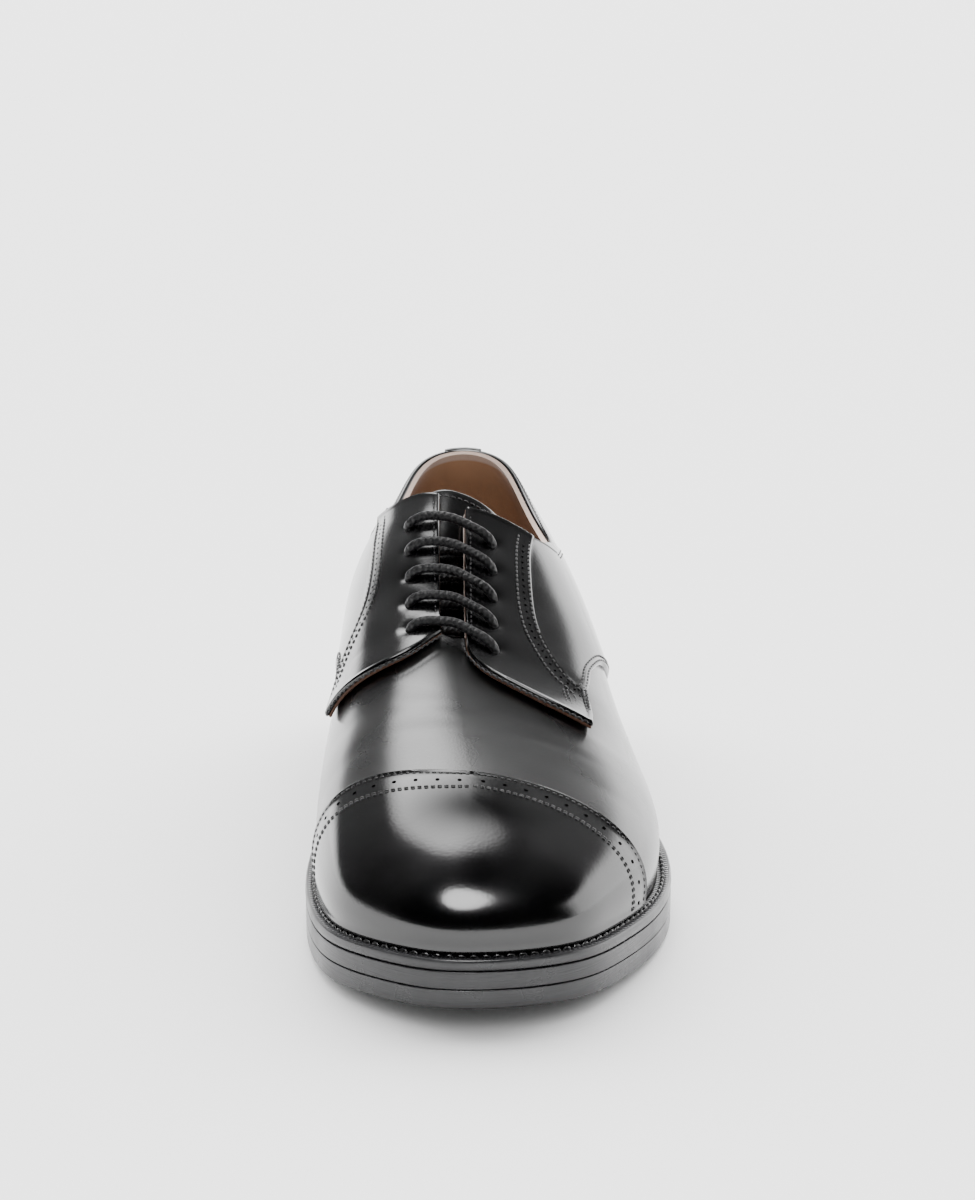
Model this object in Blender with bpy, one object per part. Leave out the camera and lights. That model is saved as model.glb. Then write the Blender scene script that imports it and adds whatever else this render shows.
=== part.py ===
"""Left derby shoe with a straight punched toe cap, laced shut and standing empty on its sole.

Everything is worked out from one last: the closed outline of the sole, its bottom line seen from
the side, a ridge along the top, and wall sections from the feather edge up to that ridge. A place
on the last is a turn round the outline (0 at the toe tip, negative on the inner side, pi at the
heel) and a level up the wall (0 at the feather edge, 1 on the ridge). Metres, +Z up, floor at 0,
toe towards -Y, outer side of the foot towards +X.
"""
import math
from collections import namedtuple

import bmesh
import bpy
import numpy as np
from mathutils import Vector

# Sole and last
SOLE_LENGTH = 0.303
BALL_WIDTH = 0.1075
SEAT_WIDTH = 0.069
INSTEP_HEIGHT = 0.075
TOE_SPRING = 0.0059
HEEL_HEIGHT = 0.0255
WELT_WIDTH = 0.0075
OUTSOLE_THICK = 0.0054
MIDSOLE_THICK = 0.0049
WELT_THICK = 0.0032
INSOLE_THICK = 0.0030
EDGE_ROUND = 0.0006
HEEL_LENGTH = 0.077
HEEL_TAPER = 0.0022
LIFT_THICK = 0.0065
CLEARANCE = 0.0003
PANEL_GAP = 0.0005

# Upper
SHELL_THICK = 0.0016
OVERLAY_THICK = 0.0012
FACING_THICK = 0.0018
BACK_HEIGHT = 0.0595
BACK_STRIP_WIDTH = 0.017
CAP_LENGTH = 0.0600
SLOT_WIDTH = 0.0073
TONGUE_THICK = 0.0022
TONGUE_DROP = 0.0040
TONGUE_PAST = 0.0080

# Lacing
EYELET_COUNT = 5
EYELET_PITCH = 0.0132
EYELET_INSET = 0.0084
EYELET_SKEW = 0.0060
EYELET_CLEARANCE = 0.0004
LACE_DIAMETER = 0.0033
LACE_BEND = 0.7

# How finely the forms are divided
ROUND_STEPS = 56
WALL_STEPS = 11
BULGE_LEVEL = 0.2

Edge = namedtuple("Edge", "station inner outer")
Wall = namedtuple("Wall", "station margin inner_bulge outer_bulge rise inner_full outer_full")
Crest = namedtuple("Crest", "station height sideways lean")
Bottom = namedtuple("Bottom", "station spring heel")
Brim = namedtuple("Brim", "station inner outer")
Spot = namedtuple("Spot", "station level")

# Half widths of the sole outline: the forepart as shares of BALL_WIDTH, the seat of SEAT_WIDTH
FOREPART = [
    Edge(0.000, 0.000, 0.000),
    Edge(0.033, 0.223, 0.279),
    Edge(0.0825, 0.349, 0.386),
    Edge(0.165, 0.423, 0.498),
    Edge(0.264, 0.4465, 0.5535),
    Edge(0.363, 0.4326, 0.544),
    Edge(0.462, 0.395, 0.493),
    Edge(0.561, 0.3535, 0.437),
    Edge(0.660, 0.3256, 0.3814),
]
SEAT = [
    Edge(0.776, 0.493, 0.522),
    Edge(0.875, 0.500, 0.500),
    Edge(0.957, 0.377, 0.377),
    Edge(1.000, 0.000, 0.000),
]

# Wall sections: margin of WELT_WIDTH, bulges of BALL_WIDTH, rise of INSTEP_HEIGHT, fullness plain
WALLS = [
    Wall(0.000, 1.07, 0.014, 0.014, 0.120, 0.64, 0.64),
    Wall(0.132, 1.00, 0.017, 0.017, 0.133, 0.64, 0.61),
    Wall(0.264, 0.91, 0.019, 0.015, 0.173, 0.64, 0.55),
    Wall(0.396, 0.87, 0.041, 0.006, 0.227, 0.57, 0.53),
    Wall(0.545, 0.73, 0.063, 0.009, 0.307, 0.48, 0.52),
    Wall(0.693, 0.67, 0.076, 0.015, 0.347, 0.38, 0.44),
    Wall(0.858, 0.53, 0.039, 0.024, 0.347, 0.16, 0.16),
    Wall(1.000, 0.53, 0.028, 0.028, 0.320, 0.70, 0.70),
]

# Ridge along the top: height over the seat of INSTEP_HEIGHT, sideways of BALL_WIDTH, lean a slope
RIDGE = [
    Crest(0.000, 0.244, 0.009, 0.00),
    Crest(0.066, 0.345, 0.009, 0.02),
    Crest(0.1485, 0.439, 0.009, 0.06),
    Crest(0.2475, 0.562, -0.009, 0.13),
    Crest(0.330, 0.661, -0.030, 0.19),
    Crest(0.429, 0.785, -0.044, 0.25),
    Crest(0.528, 0.905, -0.045, 0.28),
    Crest(0.627, 1.000, -0.042, 0.27),
    Crest(0.710, 1.030, -0.026, 0.20),
    Crest(0.810, 0.990, -0.006, 0.09),
    Crest(0.940, 0.920, 0.000, 0.00),
    Crest(1.000, 0.890, 0.000, 0.00),
]
TOE_FAN = 0.152
HEEL_FAN = 0.073

# Underside of the outsole seen from the side, as shares of TOE_SPRING and of HEEL_HEIGHT
UNDERSIDE = [
    Bottom(0.0000, 1.00, 0.000),
    Bottom(0.0825, 0.58, 0.000),
    Bottom(0.1650, 0.25, 0.000),
    Bottom(0.2640, 0.00, 0.000),
    Bottom(0.3465, 0.00, 0.000),
    Bottom(0.4455, 0.00, 0.118),
    Bottom(0.5446, 0.00, 0.373),
    Bottom(0.6436, 0.00, 0.647),
    Bottom(0.7100, 0.00, 0.784),
    Bottom(0.8580, 0.00, 0.902),
    Bottom(1.0000, 0.00, 1.000),
]

# Height of the topline over the seat, as shares of BACK_HEIGHT, behind the facings
TOPLINE = [
    Brim(0.600, 1.300, 0.980),
    Brim(0.630, 1.220, 0.930),
    Brim(0.670, 1.080, 0.870),
    Brim(0.710, 0.930, 0.800),
    Brim(0.790, 0.780, 0.735),
    Brim(0.840, 0.790, 0.755),
    Brim(0.890, 0.835, 0.810),
    Brim(0.940, 0.900, 0.890),
    Brim(1.000, 1.000, 1.000),
]

# Edges of the facings, from the throat out to the tab and from the tab up to the top line
INNER_FLAP = [Spot(0.378, 0.900), Spot(0.3685, 0.846), Spot(0.366, 0.772), Spot(0.3705, 0.688),
              Spot(0.3815, 0.587), Spot(0.392, 0.500), Spot(0.398, 0.430)]
OUTER_FLAP = [Spot(0.368, 0.966), Spot(0.350, 0.937), Spot(0.340, 0.887), Spot(0.3335, 0.830),
              Spot(0.3280, 0.765), Spot(0.3250, 0.690), Spot(0.3235, 0.618)]
INNER_BAND = [Spot(0.430, 0.415), Spot(0.452, 0.440), Spot(0.474, 0.485), Spot(0.492, 0.540),
              Spot(0.510, 0.580), Spot(0.545, 0.603), Spot(0.592, 0.605), Spot(0.640, 0.603)]
OUTER_BAND = [Spot(0.356, 0.600), Spot(0.386, 0.604), Spot(0.400, 0.656), Spot(0.4264, 0.704),
              Spot(0.457, 0.731), Spot(0.489, 0.739), Spot(0.528, 0.734), Spot(0.580, 0.716)]

# Top ends of the facings, from the slot down to where the topline starts
INNER_HEAD = [Spot(0.630, 0.880), Spot(0.641, 0.784), Spot(0.663, 0.670), Spot(0.684, 0.600)]
OUTER_HEAD = [Spot(0.6135, 0.880), Spot(0.6145, 0.800), Spot(0.616, 0.690)]

# Front seams of the quarters, from the welt up to the tab
INNER_SEAM = [Spot(0.590, 0.110), Spot(0.575, 0.210), Spot(0.546, 0.310), Spot(0.506, 0.378),
              Spot(0.466, 0.408)]
OUTER_SEAM = [Spot(0.572, 0.120), Spot(0.552, 0.240), Spot(0.5186, 0.355), Spot(0.497, 0.430),
              Spot(0.471, 0.492), Spot(0.442, 0.541), Spot(0.405, 0.582)]
THROAT = 0.392
INNER_TOP = 0.624
OUTER_TOP = 0.609
FIRST_EYELET = 0.409
TONGUE_START = 0.335

COLOURS = {
    "leather": ((0.012, 0.012, 0.013), 0.22),
    "sole_leather": ((0.020, 0.019, 0.019), 0.34),
    "rubber": ((0.015, 0.015, 0.015), 0.65),
    "insole": ((0.42, 0.27, 0.17), 0.60),
    "lace": ((0.014, 0.014, 0.015), 0.55),
}


class Line:
    """A smooth curve through table rows: a natural cubic spline, or a closed one."""

    def __init__(self, places, values, closed=False):
        self.places = np.array(places, float)
        self.values = np.array(values, float)
        self.spans = np.diff(self.places)
        slopes = np.diff(self.values) / self.spans
        count = len(places)
        matrix = np.zeros((count, count))
        right = np.zeros(count)
        for i in range(1, count - 1):
            before, after = self.spans[i - 1], self.spans[i]
            matrix[i, i - 1:i + 2] = before, 2 * (before + after), after
            right[i] = 6 * (slopes[i] - slopes[i - 1])
        if closed:
            matrix[0, 0], matrix[0, -1] = 1, -1
            matrix[-1, 0], matrix[-1, 1] = 2 * self.spans[0], self.spans[0]
            matrix[-1, -2], matrix[-1, -1] = self.spans[-1], 2 * self.spans[-1]
            right[-1] = 6 * (slopes[0] - slopes[-1])
        else:
            matrix[0, 0] = matrix[-1, -1] = 1
        self.bends = np.linalg.solve(matrix, right)

    def __call__(self, place):
        last = len(self.places) - 2
        i = min(max(int(np.searchsorted(self.places, place)) - 1, 0), last)
        span = self.spans[i]
        a = (self.places[i + 1] - place) / span
        b = (place - self.places[i]) / span
        curl = (a ** 3 - a) * self.bends[i] + (b ** 3 - b) * self.bends[i + 1]
        return float(a * self.values[i] + b * self.values[i + 1] + curl * span * span / 6)


def turn_of(station):
    return math.acos(max(-1.0, min(1.0, 1 - 2 * station)))


def station_of(turn):
    return (1 - math.cos(turn)) / 2


def wrapped(turn):
    """The same turn, brought back between -pi and pi."""
    if turn > math.pi:
        return turn - 2 * math.pi
    if turn < -math.pi:
        return turn + 2 * math.pi
    return turn


def round_line(rows):
    """A closed curve over the turn, from rows of (station, inner value, outer value)."""
    inner = [(-turn_of(row[0]), row[1]) for row in reversed(rows)]
    outer = [(turn_of(row[0]), row[2]) for row in rows[1:]]
    places, values = zip(*(inner + outer))
    return Line(places, values, closed=True)


def outline_rows():
    rows = [(row.station, -row.inner * BALL_WIDTH, row.outer * BALL_WIDTH) for row in FOREPART]
    rows += [(row.station, -row.inner * SEAT_WIDTH, row.outer * SEAT_WIDTH) for row in SEAT]
    return rows


edge_line = round_line(outline_rows())
margin_line = round_line([(w.station, w.margin * WELT_WIDTH, w.margin * WELT_WIDTH) for w in WALLS])
bulge_line = round_line([(w.station, w.inner_bulge * BALL_WIDTH, w.outer_bulge * BALL_WIDTH)
                         for w in WALLS])
rise_line = round_line([(w.station, w.rise * INSTEP_HEIGHT, w.rise * INSTEP_HEIGHT) for w in WALLS])
full_line = round_line([(w.station, w.inner_full, w.outer_full) for w in WALLS])
crest_places = [row.station * SOLE_LENGTH for row in RIDGE]
crest_height = Line(crest_places, [row.height * INSTEP_HEIGHT for row in RIDGE])
crest_shift = Line(crest_places, [row.sideways * BALL_WIDTH for row in RIDGE])
crest_lean = Line(crest_places, [row.lean for row in RIDGE])
brim_line = round_line([(0.0, BACK_HEIGHT, BACK_HEIGHT), (0.3, BACK_HEIGHT, BACK_HEIGHT)]
                       + [(b.station, b.inner * BACK_HEIGHT, b.outer * BACK_HEIGHT)
                          for b in TOPLINE])


def steady(places, values, at):
    """A curve through rows that never swings past them, so flat stretches stay flat."""
    at = min(max(at, places[0]), places[-1])
    last = len(places) - 2
    i = min(max(k for k in range(len(places)) if places[k] <= at), last)

    def slope(k):
        if k in (0, len(places) - 1):
            k = min(k, last)
            return (values[k + 1] - values[k]) / (places[k + 1] - places[k])
        before = (values[k] - values[k - 1]) / (places[k] - places[k - 1])
        after = (values[k + 1] - values[k]) / (places[k + 1] - places[k])
        return 0.0 if before * after <= 0 else 2 * before * after / (before + after)

    span = places[i + 1] - places[i]
    t = (at - places[i]) / span
    start = (2 * t ** 3 - 3 * t * t + 1) * values[i] + (t ** 3 - 2 * t * t + t) * slope(i) * span
    end = (3 * t * t - 2 * t ** 3) * values[i + 1] + (t ** 3 - t * t) * slope(i + 1) * span
    return start + end


UNDERSIDE_PLACES = [row.station * SOLE_LENGTH for row in UNDERSIDE]
UNDERSIDE_HEIGHTS = [row.spring * TOE_SPRING + row.heel * HEEL_HEIGHT for row in UNDERSIDE]


def underside(y):
    """Height of the outsole's underside over the floor, y from the toe tip to the heel."""
    return steady(UNDERSIDE_PLACES, UNDERSIDE_HEIGHTS, y)


def midsole_top(y):
    return underside(y) + OUTSOLE_THICK + CLEARANCE + MIDSOLE_THICK


def seat(y):
    """Height of the feather edge, where the upper stands on the midsole."""
    return midsole_top(y) + CLEARANCE


def welt_top(y):
    return seat(y) + WELT_THICK


def edge(turn):
    """A point of the sole outline seen from above."""
    return edge_line(turn), SOLE_LENGTH * station_of(turn)


def outward(turn):
    """The direction square to the outline, away from the shoe."""
    turn = wrapped(turn)
    small = 1e-4
    x0, y0 = edge(wrapped(turn - small))
    x1, y1 = edge(wrapped(turn + small))
    length = math.hypot(x1 - x0, y1 - y0)
    return (y1 - y0) / length, -(x1 - x0) / length


def inset_edge(turn, inset):
    x, y = edge(turn)
    across, along = outward(turn)
    return x - inset * across, y - inset * along


def ridge_place(y):
    """Where on the ridge the wall that starts at y ends, fanned out at toe and heel."""
    toe = math.hypot(y, TOE_FAN * SOLE_LENGTH)
    heel = SOLE_LENGTH - math.hypot(SOLE_LENGTH - y, HEEL_FAN * SOLE_LENGTH)
    blend = min(1.0, max(0.0, (y / SOLE_LENGTH - 0.363) / 0.33))
    blend = blend * blend * (3 - 2 * blend)
    return toe * (1 - blend) + heel * blend


def ridge_slope(y):
    small = 0.0005
    rise = seat(y + small) + crest_height(y + small) - seat(y - small) - crest_height(y - small)
    return rise / (2 * small)


def last_point(turn, level):
    """A point of the last's surface."""
    turn = wrapped(turn)
    y = edge(turn)[1]
    across, along = outward(turn)
    feather_x, feather_y = inset_edge(turn, margin_line(turn))
    bulge = bulge_line(turn)
    rise = rise_line(turn)
    base = seat(feather_y)
    if level <= BULGE_LEVEL:
        t = level / BULGE_LEVEL
        out = bulge * (1 - (1 - t) ** 2)
        return Vector((feather_x + out * across, feather_y + out * along, base + rise * t))
    start = Vector((feather_x + bulge * across, feather_y + bulge * along, base + rise))
    t = (level - BULGE_LEVEL) / (1 - BULGE_LEVEL)
    full = full_line(turn)
    place = ridge_place(y)
    crest_x = crest_shift(place)
    crest_z = seat(place) + crest_height(place)
    slope = ridge_slope(place)
    depth = crest_z + slope * (start.y - place) - start.z
    shoulder = 1 - crest_lean(place) * (start.x - crest_x) * full / depth
    inwards = 3 * (1 - t) * t * t * (1 - full) + t ** 3
    upwards = 3 * (1 - t) ** 2 * t * full + 3 * (1 - t) * t * t * shoulder + t ** 3
    x = start.x + (crest_x - start.x) * inwards
    y = start.y + (place - start.y) * inwards
    return Vector((x, y, crest_z + slope * (y - place) - depth * (1 - upwards)))


def last_normal(turn, level):
    if level > 0.9995:
        place = ridge_place(edge(wrapped(turn))[1])
        return Vector((crest_lean(place), -ridge_slope(place), 1.0)).normalized()
    if level <= 0.0:
        return Vector((*outward(turn), 0.0))
    small = 1e-3
    round_step = last_point(turn + small, level) - last_point(turn - small, level)
    up_step = last_point(turn, min(1.0, level + small)) - last_point(turn, max(0.0, level - small))
    return round_step.cross(up_step).normalized()


def over_last(turn, level, height):
    """A point at a height over the last's surface, or under it when negative."""
    return last_point(turn, level) + height * last_normal(turn, level)


def solve(function, target, low, high):
    """The value where a rising function reaches the target."""
    for _ in range(30):
        middle = (low + high) / 2
        if function(middle) < target:
            low = middle
        else:
            high = middle
    return (low + high) / 2


def low_level(turn, height):
    """The level where a piece of that outer height clears the top of the welt."""
    def over_welt(level):
        point = over_last(turn, level, height)
        return point.z - welt_top(point.y) - CLEARANCE
    return solve(over_welt, 0.0, 0.0, BULGE_LEVEL)


def brim_level(turn):
    """The level of the topline behind the facings."""
    target = seat(edge(turn)[1]) + brim_line(turn)
    return solve(lambda level: last_point(turn, level).z, target, BULGE_LEVEL, 1.0)


def beside_ridge(turn, distance):
    """The level that lies that far sideways from the ridge."""
    crest_x = crest_shift(ridge_place(edge(turn)[1]))
    return solve(lambda level: -abs(last_point(turn, level).x - crest_x), -distance,
                 BULGE_LEVEL, 1.0)


def girth(turn):
    """Length of the wall at a turn, from the feather edge to the ridge."""
    points = [last_point(turn, i / 10) for i in range(11)]
    return sum((b - a).length for a, b in zip(points, points[1:]))


def spread(points, count):
    """So many points evenly along a smooth line through the given (turn, level) points."""
    steps = [math.dist(a, b) for a, b in zip(points, points[1:])]
    places = [0.0]
    for step in steps:
        places.append(places[-1] + step)
    turns = Line(places, [p[0] for p in points])
    levels = Line(places, [p[1] for p in points])
    marks = [places[-1] * i / (count - 1) for i in range(count)]
    return [(turns(mark), levels(mark)) for mark in marks]


def filled(front, back, low, high):
    """A grid between four edges, front and back running up, low and high running backwards."""
    rows = []
    columns, levels = len(low), len(front)
    for i in range(columns):
        a = i / (columns - 1)
        row = []
        for j in range(levels):
            b = j / (levels - 1)
            place = []
            for k in range(2):
                along = (1 - b) * low[i][k] + b * high[i][k]
                up = (1 - a) * front[j][k] + a * back[j][k]
                corners = ((1 - a) * (1 - b) * low[0][k] + a * (1 - b) * low[-1][k]
                           + (1 - a) * b * high[0][k] + a * b * high[-1][k])
                place.append(along + up - corners)
            row.append(tuple(place))
        rows.append(row)
    return rows


def slot_level(turn, margin=0.0):
    return beside_ridge(turn, SLOT_WIDTH / 2 + margin)


class Side:
    """One side of the upper: its sign and the lines that bound its facing and quarter."""

    def __init__(self, name, sign, flap, band, head, seam, top):
        self.name = name
        self.sign = sign
        self.throat = sign * turn_of(THROAT)
        self.top = sign * turn_of(top)
        self.flap = [self.spot(place) for place in flap]
        self.band = [self.spot(place) for place in band + head[-1:]]
        self.head = [(self.top, slot_level(self.top))] + [self.spot(place) for place in head]
        self.seam = [self.spot(place) for place in seam]

    def spot(self, place):
        return self.sign * turn_of(place.station), place.level

    def slot_edge(self, count):
        turns = [self.throat + (self.top - self.throat) * i / (count - 1) for i in range(count)]
        return [(turn, slot_level(turn)) for turn in turns]

    def flap_edge(self, count):
        return spread([(self.throat, slot_level(self.throat))] + self.flap, count)

    def band_edge(self, count):
        return spread([self.flap[-1]] + self.band, count)

    def top_edge(self, count):
        return spread(self.head, count)

    def head_level(self, turn):
        """Level of the facing's top end at a turn between the slot and the topline."""
        place = abs(turn)
        for (a, high), (b, low) in zip(self.head, self.head[1:]):
            if place <= abs(b):
                return high + (low - high) * (place - abs(a)) / (abs(b) - abs(a))
        return brim_level(turn)

    def brim_start(self):
        """Where the topline starts behind the facing's top corner."""
        return self.band[-1][0] + self.sign * 0.07

    def brim_edge(self, count, end):
        start = self.brim_start()
        turns = [start + (end - start) * i / (count - 1) for i in range(count)]
        return [(turn, brim_level(turn)) for turn in turns]


INNER = Side("inner", -1, INNER_FLAP, INNER_BAND, INNER_HEAD, INNER_SEAM, INNER_TOP)
OUTER = Side("outer", 1, OUTER_FLAP, OUTER_BAND, OUTER_HEAD, OUTER_SEAM, OUTER_TOP)
SIDES = (INNER, OUTER)


def placed(point):
    """From the last's own frame to the part's, with the origin under the middle of its box."""
    return Vector((point[0] - MIDDLE_X, point[1] - SOLE_LENGTH / 2, point[2]))


def middle_x():
    """Middle of the sole outline, whose sides reach furthest out."""
    reaches = [edge(i * math.pi / 180)[0] for i in range(-180, 181)]
    return (min(reaches) + max(reaches)) / 2


MIDDLE_X = middle_x()


def clear_scene():
    for obj in list(bpy.data.objects):
        bpy.data.objects.remove(obj, do_unlink=True)


def new_collection(name):
    collection = bpy.data.collections.new(name)
    bpy.context.scene.collection.children.link(collection)
    return collection


def new_material(name):
    colour, roughness = COLOURS[name]
    material = bpy.data.materials.new(name)
    material.use_nodes = True
    shader = material.node_tree.nodes["Principled BSDF"]
    shader.inputs["Base Color"].default_value = (*colour, 1.0)
    shader.inputs["Roughness"].default_value = roughness
    shader.inputs["Metallic"].default_value = 0.0
    return material


def add_object(name, data, collection, finish):
    obj = bpy.data.objects.new(name, data)
    collection.objects.link(obj)
    data.materials.append(new_material(finish))
    data.materials[0].name = name + "_" + finish
    return obj


def mesh_from(name, bm):
    bmesh.ops.remove_doubles(bm, verts=bm.verts, dist=1e-7)
    bmesh.ops.recalc_face_normals(bm, faces=bm.faces)
    mesh = bpy.data.meshes.new(name)
    bm.to_mesh(mesh)
    bm.free()
    mesh.shade_smooth()
    mesh.set_sharp_from_angle(angle=math.radians(35))
    return mesh


def add_rings(bm, rings):
    return [[bm.verts.new(placed(point)) for point in ring] for ring in rings]


def wall_between(bm, low, high):
    count = len(low)
    for i in range(count):
        j = (i + 1) % count
        bm.faces.new((low[i], low[j], high[j], high[i]))


def rung_cap(bm, ring, first):
    """Closes a ring with strips across it, between points that face each other."""
    count = len(ring)
    if first == "point":
        rungs = [(i, (count - i) % count) for i in range(count // 2 + 1)]
    else:
        rungs = [(i, count - 1 - i) for i in range((count + 1) // 2)]
    for (a, b), (c, d) in zip(rungs, rungs[1:]):
        corners = []
        for index in (a, c, d, b):
            if ring[index] not in corners:
                corners.append(ring[index])
        if len(corners) > 2:
            bm.faces.new(corners)


def sole_turns():
    """Turns round the whole outline, starting at the toe tip and going out and back."""
    return [wrapped(2 * math.pi * i / ROUND_STEPS) for i in range(ROUND_STEPS)]


def layer_ring(inset, height_of):
    ring = []
    for turn in sole_turns():
        x, y = inset_edge(turn, inset)
        ring.append((x, y, height_of(y)))
    return ring


def rounded_side(low_of, thickness, inset=0.0):
    """Rings up the side of a layer, its two edges rounded off."""
    steps = [
        (EDGE_ROUND, 0.0),
        (0.0, EDGE_ROUND),
        (0.0, thickness - EDGE_ROUND / 2),
        (EDGE_ROUND / 2, thickness),
    ]
    return [layer_ring(inset + back, lambda y, up=up: low_of(y) + up) for back, up in steps]


def build_layer(name, rings, finish, collection):
    bm = bmesh.new()
    rows = add_rings(bm, rings)
    for low, high in zip(rows, rows[1:]):
        wall_between(bm, low, high)
    rung_cap(bm, rows[0], "point")
    rung_cap(bm, rows[-1], "point")
    return add_object(name, mesh_from(name, bm), collection, finish)


def build_outsole(collection):
    return build_layer("outsole", rounded_side(underside, OUTSOLE_THICK), "sole_leather", collection)


def build_midsole(collection):
    def low_of(y):
        return underside(y) + OUTSOLE_THICK + CLEARANCE
    return build_layer("midsole", rounded_side(low_of, MIDSOLE_THICK), "sole_leather", collection)


def build_insole(collection):
    rings = []
    for height in (0.0, INSOLE_THICK):
        ring = []
        for turn in sole_turns():
            x, y = inset_edge(turn, margin_line(turn) + CLEARANCE)
            ring.append((x, y, seat(y) + height))
        rings.append(ring)
    return build_layer("insole", rings, "insole", collection)


def build_welt(collection):
    """The strip round the whole upper, its inner wall following the foot of the shell."""
    rings = rounded_side(seat, WELT_THICK)
    for height in (WELT_THICK, 0.0):
        ring = []
        for turn in sole_turns():
            level = BULGE_LEVEL * height / rise_line(turn)
            point = over_last(turn, level, SHELL_THICK + PANEL_GAP)
            ring.append((point.x, point.y, seat(point.y) + height))
        rings.append(ring)
    bm = bmesh.new()
    rows = add_rings(bm, rings)
    for low, high in zip(rows, rows[1:] + rows[:1]):
        wall_between(bm, low, high)
    return add_object("welt", mesh_from("welt", bm), collection, "sole_leather")


def heel_ring(inset, height_of):
    """Points round the heel, from one corner of its breast to the other."""
    breast = turn_of(1 - HEEL_LENGTH / SOLE_LENGTH)
    count = ROUND_STEPS // 3 + 1
    ring = []
    for i in range(count):
        turn = wrapped(breast + (2 * math.pi - 2 * breast) * i / (count - 1))
        x, y = inset_edge(turn, inset)
        y = max(y, SOLE_LENGTH - HEEL_LENGTH)
        ring.append((x, y, height_of(y)))
    return ring


def build_heel_piece(name, rings, finish, collection):
    bm = bmesh.new()
    rows = add_rings(bm, rings)
    for low, high in zip(rows, rows[1:]):
        wall_between(bm, low, high)
    rung_cap(bm, rows[0], "edge")
    rung_cap(bm, rows[-1], "edge")
    return add_object(name, mesh_from(name, bm), collection, finish)


def taper_at(height):
    """How far the heel's side has drawn in at a height over the floor."""
    return EDGE_ROUND + HEEL_TAPER * (1 - height / HEEL_HEIGHT)


def build_heel_stack(collection):
    foot = LIFT_THICK + CLEARANCE
    middle = (LIFT_THICK + HEEL_HEIGHT) / 2
    rings = [
        heel_ring(taper_at(foot), lambda y: foot),
        heel_ring(taper_at(middle), lambda y: (foot + underside(y) - CLEARANCE) / 2),
        heel_ring(taper_at(HEEL_HEIGHT), lambda y: underside(y) - CLEARANCE),
    ]
    return build_heel_piece("heel_stack", rings, "sole_leather", collection)


def build_heel_lift(collection):
    rings = [
        heel_ring(taper_at(0.0) + EDGE_ROUND, lambda y: 0.0),
        heel_ring(taper_at(EDGE_ROUND), lambda y: EDGE_ROUND),
        heel_ring(taper_at(LIFT_THICK), lambda y: LIFT_THICK),
    ]
    return build_heel_piece("heel_lift", rings, "rubber", collection)


def double_grid(bm, places, low, high):
    """Closes two heights over one grid of places into a body, joined along the open edges."""
    rows, columns = len(places), len(places[0])
    faces = {}
    for height in (low, high):
        lift = height if callable(height) else (lambda turn, level, fixed=height: fixed)
        faces[height] = [[bm.verts.new(placed(over_last(t, v, lift(t, v)))) for t, v in row]
                         for row in places]
        grid = faces[height]
        for i in range(rows - 1):
            for j in range(columns - 1):
                bm.faces.new((grid[i][j], grid[i + 1][j], grid[i + 1][j + 1], grid[i][j + 1]))
    return faces[low], faces[high]


def join_border(bm, inside, outside, border):
    for (i, j), (k, m) in zip(border, border[1:]):
        bm.faces.new((inside[i][j], inside[k][m], outside[k][m], outside[i][j]))


def build_panel(name, places, low, high, collection, finish="leather"):
    """A panel of the upper: one grid of (turn, level) places, given its thickness."""
    bm = bmesh.new()
    inside, outside = double_grid(bm, places, low, high)
    rows, columns = len(places), len(places[0])
    border = [(i, 0) for i in range(rows)]
    border += [(rows - 1, j) for j in range(1, columns)]
    border += [(i, columns - 1) for i in range(rows - 2, -1, -1)]
    border += [(0, j) for j in range(columns - 2, -1, -1)]
    join_border(bm, inside, outside, border)
    return add_object(name, mesh_from(name, bm), collection, finish)


def shell_turns():
    """Turns for the shell, with a column at each end of the slot and of the facings."""
    marks = [-math.pi, INNER.brim_start()] + [turn for turn, _ in reversed(INNER.head)]
    marks += [INNER.throat, 0.0, OUTER.throat] + [turn for turn, _ in OUTER.head]
    marks += [OUTER.brim_start(), math.pi]
    pace = 2 * math.pi / ROUND_STEPS
    turns = []
    for start, end in zip(marks, marks[1:]):
        steps = max(1, round((end - start) / pace))
        turns += [start + (end - start) * i / steps for i in range(steps)]
    return turns


def shell_top(turn):
    """The highest level of the shell at a turn: ridge, edge of the slot, or topline."""
    side = INNER if turn < 0 else OUTER
    if abs(turn) <= abs(side.throat) + 1e-9:
        return 1.0
    if abs(turn) <= abs(side.top) + 1e-9:
        return slot_level(turn, CLEARANCE)
    return side.head_level(turn)


def build_shell(collection):
    """The lasted upper with its lining: one wall, open underneath, at the slot and at the top."""
    turns = shell_turns()
    tops = [shell_top(turn) for turn in turns]
    places = [[(turn, top * j / WALL_STEPS) for j in range(WALL_STEPS + 1)]
              for turn, top in zip(turns, tops)]
    places.append(places[0])
    bm = bmesh.new()
    inside, outside = double_grid(bm, places, 0.0, SHELL_THICK)
    count = len(turns)
    join_border(bm, inside, outside, [(i, 0) for i in range(count + 1)])
    for i in range(count):
        if tops[i] < 1.0 or tops[(i + 1) % count] < 1.0:
            join_border(bm, inside, outside, [(i, WALL_STEPS), (i + 1, WALL_STEPS)])
    return add_object("upper", mesh_from("upper", bm), collection, "leather")


def cap_level_turn(sign, level):
    """The turn where the toe cap's rear edge crosses a level."""
    def beyond(turn):
        point = over_last(sign * turn, level, SHELL_THICK)
        share = (point.x - crest_shift(CAP_LENGTH)) / BALL_WIDTH
        return point.y - CAP_LENGTH - BALL_WIDTH * CAP_SWEEP[sign] * share * share
    return sign * solve(beyond, 0.0, 0.0, turn_of(0.45))


CAP_SWEEP = {-1: 0.50, 1: -0.62}


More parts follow.
